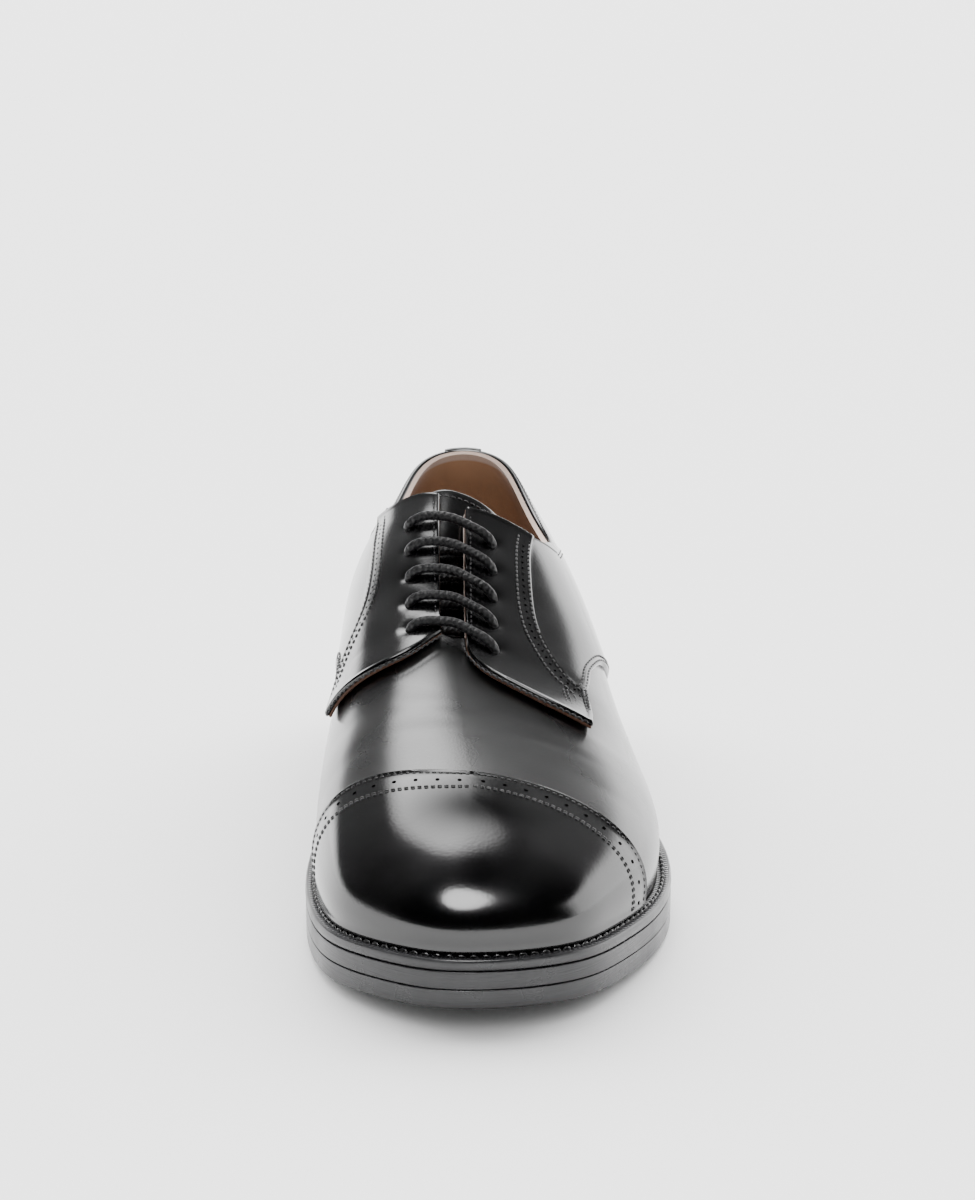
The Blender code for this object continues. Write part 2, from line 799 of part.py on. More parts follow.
def build_toe_cap(collection):
    """The cap over the toe, its rear edge swept back further on the inner side."""
    low = SHELL_THICK + PANEL_GAP
    high = low + OVERLAY_THICK
    columns = 14
    foot = {sign: cap_level_turn(sign, BULGE_LEVEL / 3) for sign in (-1, 1)}
    ridge_reach = cap_level_turn(1, 1.0)
    places = []
    for j in range(WALL_STEPS + 1):
        b = j / WALL_STEPS
        row = []
        for sign, steps in ((-1, range(columns, 0, -1)), (1, range(columns + 1))):
            for i in steps:
                turn = foot[sign] * i / columns
                bottom = low_level(turn, high)
                level = bottom + (1 - bottom) * b
                reach = sign * ridge_reach if level > 0.9995 else cap_level_turn(sign, level)
                row.append((reach * i / columns, level))
        places.append(row)
    return build_panel_closed_at_ridge("toe_cap", places, low, high, collection)


def build_panel_closed_at_ridge(name, places, low, high, collection):
    """A panel whose last row runs along the ridge, where its two sides meet."""
    bm = bmesh.new()
    inside, outside = double_grid(bm, places, low, high)
    rows, columns = len(places), len(places[0])
    join_border(bm, inside, outside, [(0, j) for j in range(columns)])
    join_border(bm, inside, outside, [(i, 0) for i in range(rows)])
    join_border(bm, inside, outside, [(i, columns - 1) for i in range(rows)])
    return add_object(name, mesh_from(name, bm), collection, "leather")


FACING_COLUMNS = 13
FACING_ROWS = 7


def build_facing(side, collection):
    """The stiff panel that holds a row of eyelets, from its loose front edge to the top."""
    low = SHELL_THICK + PANEL_GAP
    places = filled(side.flap_edge(FACING_ROWS), side.top_edge(FACING_ROWS),
                    side.slot_edge(FACING_COLUMNS), side.band_edge(FACING_COLUMNS))
    name = "facing_" + side.name
    return build_panel(name, places, low, low + FACING_THICK, collection)


def band_clearance(side, place):
    """The same place, moved off the facing's edge by the clearance."""
    turn, level = place
    round_gap = 1.3 * CLEARANCE / (SOLE_LENGTH / 2)
    return turn + side.sign * round_gap, level - 1.3 * CLEARANCE / girth(turn)


def build_quarter(side, collection):
    """The rear panel of one side, from its arched front seam to the back strip."""
    low = SHELL_THICK + PANEL_GAP
    high = low + OVERLAY_THICK
    end = side.sign * (math.pi - strip_turn(CLEARANCE))
    band = [band_clearance(side, place) for place in side.band_edge(FACING_COLUMNS)[3:]]
    rear_columns = 15
    upper = band + side.brim_edge(rear_columns, end)
    columns = len(upper)
    ahead = side.seam[0][0] - upper[0][0]
    turns = [place[0] + ahead * (1 - i / (columns - 1)) ** 2 for i, place in enumerate(upper)]
    lower = [(turn, low_level(turn, high)) for turn in turns]
    rows = 9
    front = spread([lower[0]] + side.seam + [upper[0]], rows)
    back = [(end, lower[-1][1] + (upper[-1][1] - lower[-1][1]) * j / (rows - 1))
            for j in range(rows)]
    places = filled(front, back, lower, upper)
    return build_panel("quarter_" + side.name, places, low, high, collection)


def strip_turn(extra=0.0):
    """Half the turn that the back strip covers at the heel."""
    half = BACK_STRIP_WIDTH / 2 + extra
    return math.pi - solve(lambda turn: -edge(turn)[0], -half, turn_of(0.9), math.pi)


def build_back_strip(collection):
    low = SHELL_THICK + PANEL_GAP
    half = strip_turn()
    rows = []
    for i in range(5):
        turn = wrapped(math.pi + half * (i - 2) / 2)
        bottom = low_level(turn, low + FACING_THICK)
        top = brim_level(turn)
        rows.append([(turn, bottom + (top - bottom) * j / 8) for j in range(9)])
    return build_panel("back_strip", rows, low, low + FACING_THICK, collection)


def tongue_drop(turn, level):
    """How far under the last's surface the tongue's face lies: close up in front, lower behind."""
    start = turn_of(TONGUE_START)
    share = min(1.0, max(0.0, (abs(turn) - start) / (turn_of(THROAT) - start)))
    share = share * share * (3 - 2 * share)
    return -(CLEARANCE + (TONGUE_DROP - CLEARANCE) * share)


def build_tongue(collection):
    """The tongue under the slot, from under the vamp to past the facings' top corners."""
    start = turn_of(TONGUE_START)
    end = turn_of((INNER_TOP + OUTER_TOP) / 2 + TONGUE_PAST / SOLE_LENGTH)
    columns = 14
    half_rows = 5
    places = []
    for i in range(columns):
        share = i / (columns - 1)
        turn = start + (end - start) * share
        reach = SLOT_WIDTH / 2 + EYELET_INSET * (1.25 + 0.5 * share)
        if i == columns - 1:
            reach *= 0.62
        row = []
        for sign in (-1, 1):
            side_row = []
            for j in range(half_rows):
                away = reach * (half_rows - 1 - j) / (half_rows - 1)
                level = 1.0 if j == half_rows - 1 else beside_ridge(sign * turn, away)
                side_row.append((sign * turn, level))
            row += side_row if sign < 0 else side_row[-2::-1]
        places.append(row)

    def face(turn, level):
        return tongue_drop(turn, level)

    def back(turn, level):
        return tongue_drop(turn, level) - TONGUE_THICK

    return build_panel("tongue", places, back, face, collection)


def eyelet_place(side, index):
    """Turn and level of an eyelet, counted from the throat."""
    station = FIRST_EYELET + index * EYELET_PITCH / SOLE_LENGTH
    if side.sign > 0:
        station -= EYELET_SKEW / SOLE_LENGTH
    turn = side.sign * turn_of(station)
    return turn, beside_ridge(turn, SLOT_WIDTH / 2 + EYELET_INSET)


def add_eyelet_cutter(side, cutters):
    """One cutter for a row of eyelets: round pins square to the wall."""
    bm = bmesh.new()
    radius = LACE_DIAMETER / 2 + EYELET_CLEARANCE
    for index in range(EYELET_COUNT):
        turn, level = eyelet_place(side, index)
        normal = last_normal(turn, level)
        middle = placed(over_last(turn, level, (SHELL_THICK + FACING_THICK) / 2))
        matrix = normal.to_track_quat("Z", "Y").to_matrix().to_4x4()
        matrix.translation = middle
        bmesh.ops.create_cone(bm, cap_ends=True, segments=10, radius1=radius, radius2=radius,
                              depth=3 * (SHELL_THICK + FACING_THICK), matrix=matrix)
    mesh = bpy.data.meshes.new("eyelet_cutter_" + side.name)
    bm.to_mesh(mesh)
    bm.free()
    cutter = bpy.data.objects.new(mesh.name, mesh)
    cutters.objects.link(cutter)
    cutter.hide_render = True
    cutter.display_type = "WIRE"
    return cutter


def cut(obj, cutter):
    modifier = obj.modifiers.new(cutter.name, "BOOLEAN")
    modifier.operation = "DIFFERENCE"
    modifier.solver = "EXACT"
    modifier.object = cutter


def bar_points(index):
    """Middle line of a lace bar: out of one eyelet, over both facings, into the other."""
    top = SHELL_THICK + PANEL_GAP + FACING_THICK + LACE_DIAMETER / 2 + CLEARANCE
    bend = LACE_BEND * LACE_DIAMETER
    far = SLOT_WIDTH / 2 + EYELET_INSET
    turns = {side.sign: eyelet_place(side, index)[0] for side in SIDES}
    middle = (abs(turns[-1]) + abs(turns[1])) / 2
    halves = {}
    for side in SIDES:
        turn, level = eyelet_place(side, index)
        steps = 4
        over = []
        for i in range(1, steps):
            share = i / steps
            here = turn + (side.sign * middle - turn) * share
            over.append(over_last(here, beside_ridge(here, far * (1 - share)), top))
        normal = last_normal(turn, level)
        foot = over_last(turn, level, top - bend)
        inwards = over[0] - foot
        inwards = (inwards - inwards.dot(normal) * normal).normalized()
        rise = [foot - normal * SHELL_THICK]
        for angle in (0.0, math.pi / 6, math.pi / 3, math.pi / 2):
            out = bend * (1 - math.cos(angle))
            rise.append(foot + normal * bend * math.sin(angle) + inwards * out)
        halves[side.sign] = rise + over[1:]
    crown = over_last(middle, 1.0, top)
    return [placed(point) for point in halves[-1] + [crown] + halves[1][::-1]]


def build_lace_bar(index, collection):
    name = "lace_bar_" + str(index + 1)
    curve = bpy.data.curves.new(name, "CURVE")
    curve.dimensions = "3D"
    curve.bevel_depth = LACE_DIAMETER / 2
    curve.bevel_resolution = 2
    curve.use_fill_caps = True
    route = bar_points(index)
    spline = curve.splines.new("POLY")
    spline.points.add(len(route) - 1)
    for point, place in zip(spline.points, route):
        point.co = (*place, 1.0)
    return add_object(name, curve, collection, "lace")


def main():
    clear_scene()
    shoe = new_collection("derby_shoe")
    cutters = new_collection("cutters")
    build_outsole(shoe)
    build_midsole(shoe)
    build_welt(shoe)
    build_heel_stack(shoe)
    build_heel_lift(shoe)
    build_insole(shoe)
    shell = build_shell(shoe)
    build_toe_cap(shoe)
    build_back_strip(shoe)
    build_tongue(shoe)
    for side in SIDES:
        build_quarter(side, shoe)
        facing = build_facing(side, shoe)
        cutter = add_eyelet_cutter(side, cutters)
        cut(facing, cutter)
        cut(shell, cutter)
    for index in range(EYELET_COUNT):
        build_lace_bar(index, shoe)


main()
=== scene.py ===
"""A left derby shoe in polished black calf with a punched toe cap, standing on a pale floor."""

import math

import bmesh
import bpy
import numpy as np
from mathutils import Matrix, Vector


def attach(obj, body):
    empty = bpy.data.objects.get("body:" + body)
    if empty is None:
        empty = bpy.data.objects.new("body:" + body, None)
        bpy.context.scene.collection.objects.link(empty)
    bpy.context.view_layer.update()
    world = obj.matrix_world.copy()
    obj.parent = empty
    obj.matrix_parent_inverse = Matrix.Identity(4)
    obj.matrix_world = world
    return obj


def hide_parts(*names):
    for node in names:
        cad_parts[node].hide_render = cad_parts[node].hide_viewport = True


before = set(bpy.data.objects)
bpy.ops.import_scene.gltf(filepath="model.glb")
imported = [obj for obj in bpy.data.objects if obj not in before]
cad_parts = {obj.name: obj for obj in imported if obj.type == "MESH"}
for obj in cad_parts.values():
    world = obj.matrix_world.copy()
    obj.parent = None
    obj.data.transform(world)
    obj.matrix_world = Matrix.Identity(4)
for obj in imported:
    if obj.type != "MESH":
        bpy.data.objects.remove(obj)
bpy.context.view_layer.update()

# Outsole, midsole and welt
# Three leather layers share one outline: a long oval with a swell at the outer joint. The sole
# lifts a little at the toe, touches the floor under the ball and climbs over the arch to the heel.
SOLE_LENGTH = 0.303
BALL_WIDTH = 0.1075
SEAT_WIDTH = 0.069
WELT_WIDTH = 0.0075
OUTSOLE_THICK = 0.0054
MIDSOLE_THICK = 0.0049
WELT_THICK = 0.0032
LAYER_GAP = 0.0003


class Line:
    """A smooth curve through table rows, closed where its ends meet."""

    def __init__(self, places, values, closed=False):
        self.places = np.array(places, float)
        self.values = np.array(values, float)
        self.spans = np.diff(self.places)
        slopes = np.diff(self.values) / self.spans
        count = len(places)
        matrix = np.zeros((count, count))
        right = np.zeros(count)
        for i in range(1, count - 1):
            before, after = self.spans[i - 1], self.spans[i]
            matrix[i, i - 1:i + 2] = before, 2 * (before + after), after
            right[i] = 6 * (slopes[i] - slopes[i - 1])
        if closed:
            matrix[0, 0], matrix[0, -1] = 1, -1
            matrix[-1, 0], matrix[-1, 1] = 2 * self.spans[0], self.spans[0]
            matrix[-1, -2], matrix[-1, -1] = self.spans[-1], 2 * self.spans[-1]
            right[-1] = 6 * (slopes[0] - slopes[-1])
        else:
            matrix[0, 0] = matrix[-1, -1] = 1
        self.bends = np.linalg.solve(matrix, right)

    def __call__(self, place):
        place = np.asarray(place, float)
        i = np.clip(np.searchsorted(self.places, place) - 1, 0, len(self.places) - 2)
        span = self.spans[i]
        a = (self.places[i + 1] - place) / span
        b = (place - self.places[i]) / span
        curl = (a ** 3 - a) * self.bends[i] + (b ** 3 - b) * self.bends[i + 1]
        return a * self.values[i] + b * self.values[i + 1] + curl * span * span / 6


def turn_of(station):
    """The angle round the outline at a share of the sole's length from the toe."""
    return np.arccos(np.clip(1 - 2 * np.asarray(station, float), -1, 1))


def round_line(rows):
    """A closed curve over the turn, from rows of (station, inner value, outer value)."""
    inner = [(-float(turn_of(row[0])), row[1]) for row in reversed(rows)]
    outer = [(float(turn_of(row[0])), row[2]) for row in rows[1:]]
    places, values = zip(*(inner + outer))
    return Line(places, values, closed=True)


# Rows of (share of the length from the toe, inner half-width, outer half-width), the widths as
# shares of the ball's, and then of the seat's.
forepart = [(0.0, 0.0, 0.0), (0.033, 0.223, 0.279), (0.0825, 0.349, 0.386), (0.165, 0.423, 0.498),
            (0.264, 0.4465, 0.5535), (0.363, 0.4326, 0.544), (0.462, 0.395, 0.493),
            (0.561, 0.3535, 0.437), (0.660, 0.3256, 0.3814)]
seat_part = [(0.776, 0.493, 0.522), (0.875, 0.5, 0.5), (0.957, 0.377, 0.377), (1.0, 0.0, 0.0)]
edge_line = round_line([(s, -a * BALL_WIDTH, b * BALL_WIDTH) for s, a, b in forepart]
                       + [(s, -a * SEAT_WIDTH, b * SEAT_WIDTH) for s, a, b in seat_part])
# Rows of (share of the length, height of the sole over the floor).
under_rows = [(0.0, 0.0059), (0.0825, 0.00342), (0.165, 0.00148), (0.264, 0.0), (0.3465, 0.0),
              (0.4455, 0.00301), (0.5446, 0.00951), (0.6436, 0.0165), (0.71, 0.01999),
              (0.858, 0.023), (1.0, 0.0255)]
under_y = np.array([row[0] * SOLE_LENGTH for row in under_rows])
under_z = np.array([row[1] for row in under_rows])
under_rise = np.diff(under_z) / np.diff(under_y)
under_slope = np.zeros(len(under_y))
for k in range(1, len(under_y) - 1):
    if under_rise[k - 1] * under_rise[k] > 0:
        under_slope[k] = (2 * under_rise[k - 1] * under_rise[k]
                          / (under_rise[k - 1] + under_rise[k]))
under_slope[0] = under_rise[0]
under_slope[-1] = under_rise[-1]


def underside(y):
    """Height of the outsole's lower face: toe spring, tread and arch."""
    y = np.clip(y, 0, SOLE_LENGTH)
    i = np.clip(np.searchsorted(under_y, y, side="right") - 1, 0, len(under_y) - 2)
    span = under_y[i + 1] - under_y[i]
    t = (y - under_y[i]) / span
    start = (2 * t ** 3 - 3 * t * t + 1) * under_z[i] + (t ** 3 - 2 * t * t + t) * under_slope[i] * span
    end = (3 * t * t - 2 * t ** 3) * under_z[i + 1] + (t ** 3 - t * t) * under_slope[i + 1] * span
    return start + end


def seat(y):
    """Height of the feather edge, where the upper stands on the midsole."""
    return underside(y) + OUTSOLE_THICK + MIDSOLE_THICK + 2 * LAYER_GAP


def wrapped(turn):
    """The same angle between minus and plus half a turn."""
    return (turn + math.pi) % (2 * math.pi) - math.pi


def edge(turn):
    """Points of the sole's outline, in the last's own frame."""
    return edge_line(wrapped(turn)), SOLE_LENGTH * (1 - np.cos(turn)) / 2


def outward(turn):
    """The direction square to the outline, away from the shoe."""
    small = 1e-4
    x0, y0 = edge(turn - small)
    x1, y1 = edge(turn + small)
    length = np.hypot(x1 - x0, y1 - y0)
    return (y1 - y0) / length, -(x1 - x0) / length


outline_x = edge_line(np.linspace(-math.pi, math.pi, 721))
MIDDLE_X = (outline_x.min() + outline_x.max()) / 2


def placed(points):
    """From the last's own frame, with the toe tip at y = 0, to the shoe's."""
    return np.asarray(points) - np.array([MIDDLE_X, SOLE_LENGTH / 2, 0.0])


def add_grid(bm, points, uvs=None):
    """A grid of faces with its corners at the given rows of points."""
    rows, columns = points.shape[:2]
    made = bmesh.ops.create_grid(bm, x_segments=columns - 1, y_segments=rows - 1, size=1.0)
    layer = bm.loops.layers.uv.verify()
    faces = set()
    for vert in made["verts"]:
        j = round((vert.co.x + 1) / 2 * (columns - 1))
        i = round((vert.co.y + 1) / 2 * (rows - 1))
        vert.co = points[i, j]
        faces.update(vert.link_faces)
        if uvs is not None:
            for loop in vert.link_loops:
                loop[layer].uv = uvs[i, j]
    return faces


def finished(name, bm, materials, nodes=(), angle=40, merge=2e-6):
    """Turns a body into one of the shoe's pieces."""
    bmesh.ops.remove_doubles(bm, verts=bm.verts, dist=merge)
    bmesh.ops.dissolve_degenerate(bm, edges=bm.edges, dist=1e-7)
    bmesh.ops.recalc_face_normals(bm, faces=bm.faces)
    mesh = bpy.data.meshes.new(name)
    bm.to_mesh(mesh)
    bm.free()
    mesh.shade_smooth()
    mesh.set_sharp_from_angle(angle=math.radians(angle))
    piece = bpy.data.objects.new(name, mesh)
    bpy.context.scene.collection.objects.link(piece)
    for material in materials:
        mesh.materials.append(material)
    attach(piece, "root")
    if nodes:
        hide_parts(*nodes)
    return piece


def new_material(name, colour, roughness, coat=0.0, coat_roughness=0.1, specular=0.5):
    """A plain surface with an optional wax coat, with its node tree and shader for more."""
    material = bpy.data.materials.new(name)
    material.use_nodes = True
    shader = material.node_tree.nodes["Principled BSDF"]
    shader.inputs["Base Color"].default_value = (*colour, 1.0)
    shader.inputs["Roughness"].default_value = roughness
    shader.inputs["Coat Weight"].default_value = coat
    shader.inputs["Coat Roughness"].default_value = coat_roughness
    shader.inputs["Specular IOR Level"].default_value = specular
    return material, material.node_tree, shader


def add_node(tree, kind, **inputs):
    """A shader node with some of its sockets or settings filled in."""
    node = tree.nodes.new(kind)
    for key, value in inputs.items():
        name = key.replace("_", " ")
        if name in node.inputs:
            node.inputs[name].default_value = value
        else:
            setattr(node, key, value)
    return node


def ranged(tree, source, low, high, to_low=0.0, to_high=1.0, kind="LINEAR"):
    """A value that goes from to_low to to_high as the source goes from low to high."""
    step = add_node(tree, "ShaderNodeMapRange", interpolation_type=kind)
    for name, value in (("From Min", low), ("From Max", high), ("To Min", to_low), ("To Max", to_high)):
        step.inputs[name].default_value = value
    tree.links.new(source, step.inputs["Value"])
    return step.outputs["Result"]


def textured(tree, kind, stretch=None, **inputs):
    """A pattern that lies in the shoe's own coordinates."""
    source = add_node(tree, "ShaderNodeTexCoord").outputs["Object"]
    if stretch:
        mapping = add_node(tree, "ShaderNodeMapping", Scale=stretch)
        tree.links.new(source, mapping.inputs["Vector"])
        source = mapping.outputs["Vector"]
    pattern = add_node(tree, kind, **inputs)
    tree.links.new(source, pattern.inputs["Vector"])
    return pattern


def bumped(tree, shader, height, strength, distance, coat=True):
    """Relief from a height socket, on the surface and on its coat."""
    bump = add_node(tree, "ShaderNodeBump", Strength=strength, Distance=distance)
    tree.links.new(height, bump.inputs["Height"])
    tree.links.new(bump.outputs["Normal"], shader.inputs["Normal"])
    if coat:
        tree.links.new(bump.outputs["Normal"], shader.inputs["Coat Normal"])


EDGE_INK = (0.006, 0.006, 0.006)
WORN_INK = (0.030, 0.030, 0.033)


def sole_edge_material(name, roughness):
    """Inked and waxed leather edge: pressed layers run round it, with duller, rubbed patches."""
    material, tree, shader = new_material(name, EDGE_INK, roughness, coat=0.15, coat_roughness=0.2)
    fibres = textured(tree, "ShaderNodeTexNoise", stretch=(60, 60, 2600), Scale=1.0, Detail=3.0)
    patches = textured(tree, "ShaderNodeTexNoise", Scale=55.0, Detail=4.0)
    dull = ranged(tree, patches.outputs["Fac"], 0.35, 0.7, roughness - 0.08, roughness + 0.16)
    tree.links.new(dull, shader.inputs["Roughness"])
    streaks = add_node(tree, "ShaderNodeMix", data_type="RGBA")
    streaks.inputs[6].default_value = (*EDGE_INK, 1)
    streaks.inputs[7].default_value = (*WORN_INK, 1)
    tree.links.new(fibres.outputs["Fac"], streaks.inputs[0])
    tree.links.new(streaks.outputs[2], shader.inputs["Base Color"])
    bumped(tree, shader, fibres.outputs["Fac"], 0.5, 0.0002)
    return material


ROUND_STEPS = 220
half_turns = np.linspace(0, math.pi, ROUND_STEPS + 1)
all_turns = np.linspace(-math.pi, math.pi, 2 * ROUND_STEPS + 1)


def ring_points(turns, inset, height_of):
    """A line round the shoe, inset from the sole's outline, at a height worked out from y."""
    x, y = edge(turns)
    across, along = outward(turns)
    x, y = x - inset * across, y - inset * along
    return np.stack([x, y, height_of(y)], axis=-1)


def add_face(bm, half, insets, height_of, steps=15, front=0.0):
    """A face across the sole from its inner edge to its outer edge, no further forward than front."""
    left = ring_points(-half, insets[0], height_of)
    right = ring_points(half, insets[1], height_of)
    across = np.linspace(0, 1, steps)[None, :, None]
    points = left[:, None] * (1 - across) + right[:, None] * across
    points[..., 1] = np.maximum(points[..., 1], front)
    points[..., 2] = height_of(points[..., 1])
    add_grid(bm, placed(points))


def layer_body(profile):
    """A full sole layer: rings up its side from (inset, height) rows, and a face above and below."""
    bm = bmesh.new()
    add_grid(bm, placed(np.stack([ring_points(all_turns, inset, height) for inset, height in profile])))
    for inset, height in (profile[0], profile[-1]):
        add_face(bm, half_turns, (inset, inset), height)
    return bm


def edge_profile(low_of, thick, round_low, round_high):
    """Insets and heights up a layer's edge, with its corners rounded."""
    rows = []
    for angle in np.linspace(0, math.pi / 2, 5):
        rows.append((round_low * (1 - math.sin(angle)), round_low * (1 - math.cos(angle))))
    rows.append((0.0, thick / 2))
    for angle in np.linspace(0, math.pi / 2, 5):
        rows.append((round_high * (1 - math.cos(angle)), thick - round_high * (1 - math.sin(angle))))
    return [(inset, lambda y, up=up: low_of(y) + up) for inset, up in rows]


def midsole_low(y):
    """Height of the midsole's lower face."""
    return underside(y) + OUTSOLE_THICK + LAYER_GAP


TREAD_ROUND = 0.0008
LAYER_ROUND = 0.00025
outsole_finish = sole_edge_material("outsole_edge", 0.30)
bm = layer_body(edge_profile(underside, OUTSOLE_THICK, TREAD_ROUND, LAYER_ROUND))
finished("outsole_layer", bm, [outsole_finish], ["outsole"])
midsole_finish = sole_edge_material("midsole_edge", 0.33)
bm = layer_body(edge_profile(midsole_low, MIDSOLE_THICK, LAYER_ROUND, LAYER_ROUND))
finished("midsole_layer", bm, [midsole_finish], ["midsole"])

# The last-shaped wall
# From the feather edge the leather bulges out a little over the welt, then leans in to a ridge
# that runs up the instep, closer to the inner side. Everything above the sole is laid on this.
INSTEP_HEIGHT = 0.075
BULGE_LEVEL = 0.2
TOE_FAN = 0.152
HEEL_FAN = 0.073
# Rows of (share of the length, welt left in front of the wall, inner and outer bulge, height of the
# bulge, inner and outer fullness above it).
wall_rows = [(0.0, 1.07, 0.014, 0.014, 0.120, 0.64, 0.64), (0.132, 1.0, 0.017, 0.017, 0.133, 0.64, 0.61),
             (0.264, 0.91, 0.019, 0.015, 0.173, 0.64, 0.55), (0.396, 0.87, 0.041, 0.006, 0.227, 0.57, 0.53),
             (0.545, 0.73, 0.063, 0.009, 0.307, 0.48, 0.52), (0.693, 0.67, 0.076, 0.015, 0.347, 0.38, 0.44),
             (0.858, 0.53, 0.039, 0.024, 0.347, 0.16, 0.16), (1.0, 0.53, 0.028, 0.028, 0.320, 0.70, 0.70)]
# Rows of (share of the length, height of the ridge over the seat, shift to the outer side, lean).
ridge_rows = [(0.0, 0.244, 0.009, 0.0), (0.066, 0.345, 0.009, 0.02), (0.1485, 0.439, 0.009, 0.06),
              (0.2475, 0.562, -0.009, 0.13), (0.33, 0.661, -0.030, 0.19), (0.429, 0.785, -0.044, 0.25),
              (0.528, 0.905, -0.045, 0.28), (0.627, 1.0, -0.042, 0.27), (0.71, 1.03, -0.026, 0.20),
              (0.81, 0.99, -0.006, 0.09), (0.94, 0.92, 0.0, 0.0), (1.0, 0.89, 0.0, 0.0)]
margin_line = round_line([(r[0], r[1] * WELT_WIDTH, r[1] * WELT_WIDTH) for r in wall_rows])
bulge_line = round_line([(r[0], r[2] * BALL_WIDTH, r[3] * BALL_WIDTH) for r in wall_rows])
rise_line = round_line([(r[0], r[4] * INSTEP_HEIGHT, r[4] * INSTEP_HEIGHT) for r in wall_rows])
full_line = round_line([(r[0], r[5], r[6]) for r in wall_rows])
crest_places = [row[0] * SOLE_LENGTH for row in ridge_rows]
crest_height = Line(crest_places, [row[1] * INSTEP_HEIGHT for row in ridge_rows])
crest_shift = Line(crest_places, [row[2] * BALL_WIDTH for row in ridge_rows])
crest_lean = Line(crest_places, [row[3] for row in ridge_rows])


def ridge_place(y):
    """Where on the ridge the wall that starts at y ends, fanned out at toe and heel."""
    toe = np.hypot(y, TOE_FAN * SOLE_LENGTH)
    heel = SOLE_LENGTH - np.hypot(SOLE_LENGTH - y, HEEL_FAN * SOLE_LENGTH)
    blend = np.clip((y / SOLE_LENGTH - 0.363) / 0.33, 0, 1)
    blend = blend * blend * (3 - 2 * blend)
    return toe * (1 - blend) + heel * blend


def ridge_slope(y):
    """How steeply the ridge climbs."""
    small = 0.0005
    rise = seat(y + small) + crest_height(y + small) - seat(y - small) - crest_height(y - small)
    return rise / (2 * small)


def last(turn, level):
    """Points of the last's surface, in its own frame."""
    turn, level = np.broadcast_arrays(np.asarray(turn, float), np.asarray(level, float))
    turn = wrapped(turn)
    x, y = edge(turn)
    across, along = outward(turn)
    margin, bulge, rise, full = (line(turn) for line in (margin_line, bulge_line, rise_line, full_line))
    foot_x, foot_y = x - margin * across, y - margin * along
    base = seat(foot_y)
    low = np.clip(level / BULGE_LEVEL, 0, 1)
    out = bulge * (1 - (1 - low) ** 2)
    wall = np.stack([foot_x + out * across, foot_y + out * along, base + rise * low], axis=-1)
    start_x, start_y = foot_x + bulge * across, foot_y + bulge * along
    start_z = base + rise
    t = np.clip((level - BULGE_LEVEL) / (1 - BULGE_LEVEL), 0, 1)
    place = ridge_place(y)
    crest_x = crest_shift(place)
    crest_z = seat(place) + crest_height(place)
    slope = ridge_slope(place)
    depth = crest_z + slope * (start_y - place) - start_z
    shoulder = 1 - crest_lean(place) * (start_x - crest_x) * full / depth
    inwards = 3 * (1 - t) * t * t * (1 - full) + t ** 3
    upwards = 3 * (1 - t) ** 2 * t * full + 3 * (1 - t) * t * t * shoulder + t ** 3
    over_x = start_x + (crest_x - start_x) * inwards
    over_y = start_y + (place - start_y) * inwards
    over_z = crest_z + slope * (over_y - place) - depth * (1 - upwards)
    over = np.stack([over_x, over_y, over_z], axis=-1)
    return np.where((level <= BULGE_LEVEL)[..., None], wall, over)


def last_normal(turn, level):
    """The direction out of the last, settled where the walls meet on the ridge and at the foot."""
    turn, level = np.broadcast_arrays(np.asarray(turn, float), np.asarray(level, float))
    small = 1e-3
    round_step = last(turn + small, level) - last(turn - small, level)
    up_step = last(turn, np.minimum(level + small, 1)) - last(turn, np.maximum(level - small, 0))
    normal = np.cross(round_step, up_step)
    normal /= np.maximum(np.linalg.norm(normal, axis=-1, keepdims=True), 1e-12)
    place = ridge_place(edge(wrapped(turn))[1])
    top = np.stack([crest_lean(place), -ridge_slope(place), np.ones_like(place)], axis=-1)
    top /= np.linalg.norm(top, axis=-1, keepdims=True)
    across, along = outward(turn)
    foot = np.stack([across, along, np.zeros_like(across)], axis=-1)
    near_top = np.clip((level - 0.992) / 0.0075, 0, 1)[..., None]
    near_foot = np.clip((0.02 - level) / 0.02, 0, 1)[..., None]
    normal = normal * (1 - near_top) + top * near_top
    normal = normal * (1 - near_foot) + foot * near_foot
    return normal / np.linalg.norm(normal, axis=-1, keepdims=True)


def over(turn, level, height):
    """Points at a height over the last's surface, in its own frame."""
    height = np.asarray(height, float)
    return last(turn, level) + height[..., None] * last_normal(turn, level)


def solved(function, low, high, target):
    """Where rising functions reach their targets, between the given ends."""
    low, high = np.array(low, float), np.array(high, float)
    for _ in range(28):
        middle = (low + high) / 2
        below = function(middle) < target
        low = np.where(below, middle, low)
        high = np.where(below, high, middle)
    return (low + high) / 2


def beside_ridge(turn, distance):
    """The levels that lie that far sideways from the ridge."""
    turn = np.asarray(turn, float)
    crest_x = crest_shift(ridge_place(edge(wrapped(turn))[1]))
    return solved(lambda level: -np.abs(last(turn, level)[..., 0] - crest_x),
                  np.full(turn.shape, BULGE_LEVEL), np.ones(turn.shape), -distance)


def over_welt_level(turn, height):
    """The levels where something of that outer height clears the top of the welt."""
    turn = np.asarray(turn, float)

    def clearance(level):
        points = over(turn, level, np.full(turn.shape, height))
        return points[..., 2] - seat(points[..., 1]) - WELT_THICK
    return solved(clearance, np.zeros(turn.shape), np.full(turn.shape, BULGE_LEVEL), 0.0)


SHELL_THICK = 0.0016
SLOT_WIDTH = 0.0073
BACK_HEIGHT = 0.0595
THROAT = float(turn_of(0.392))
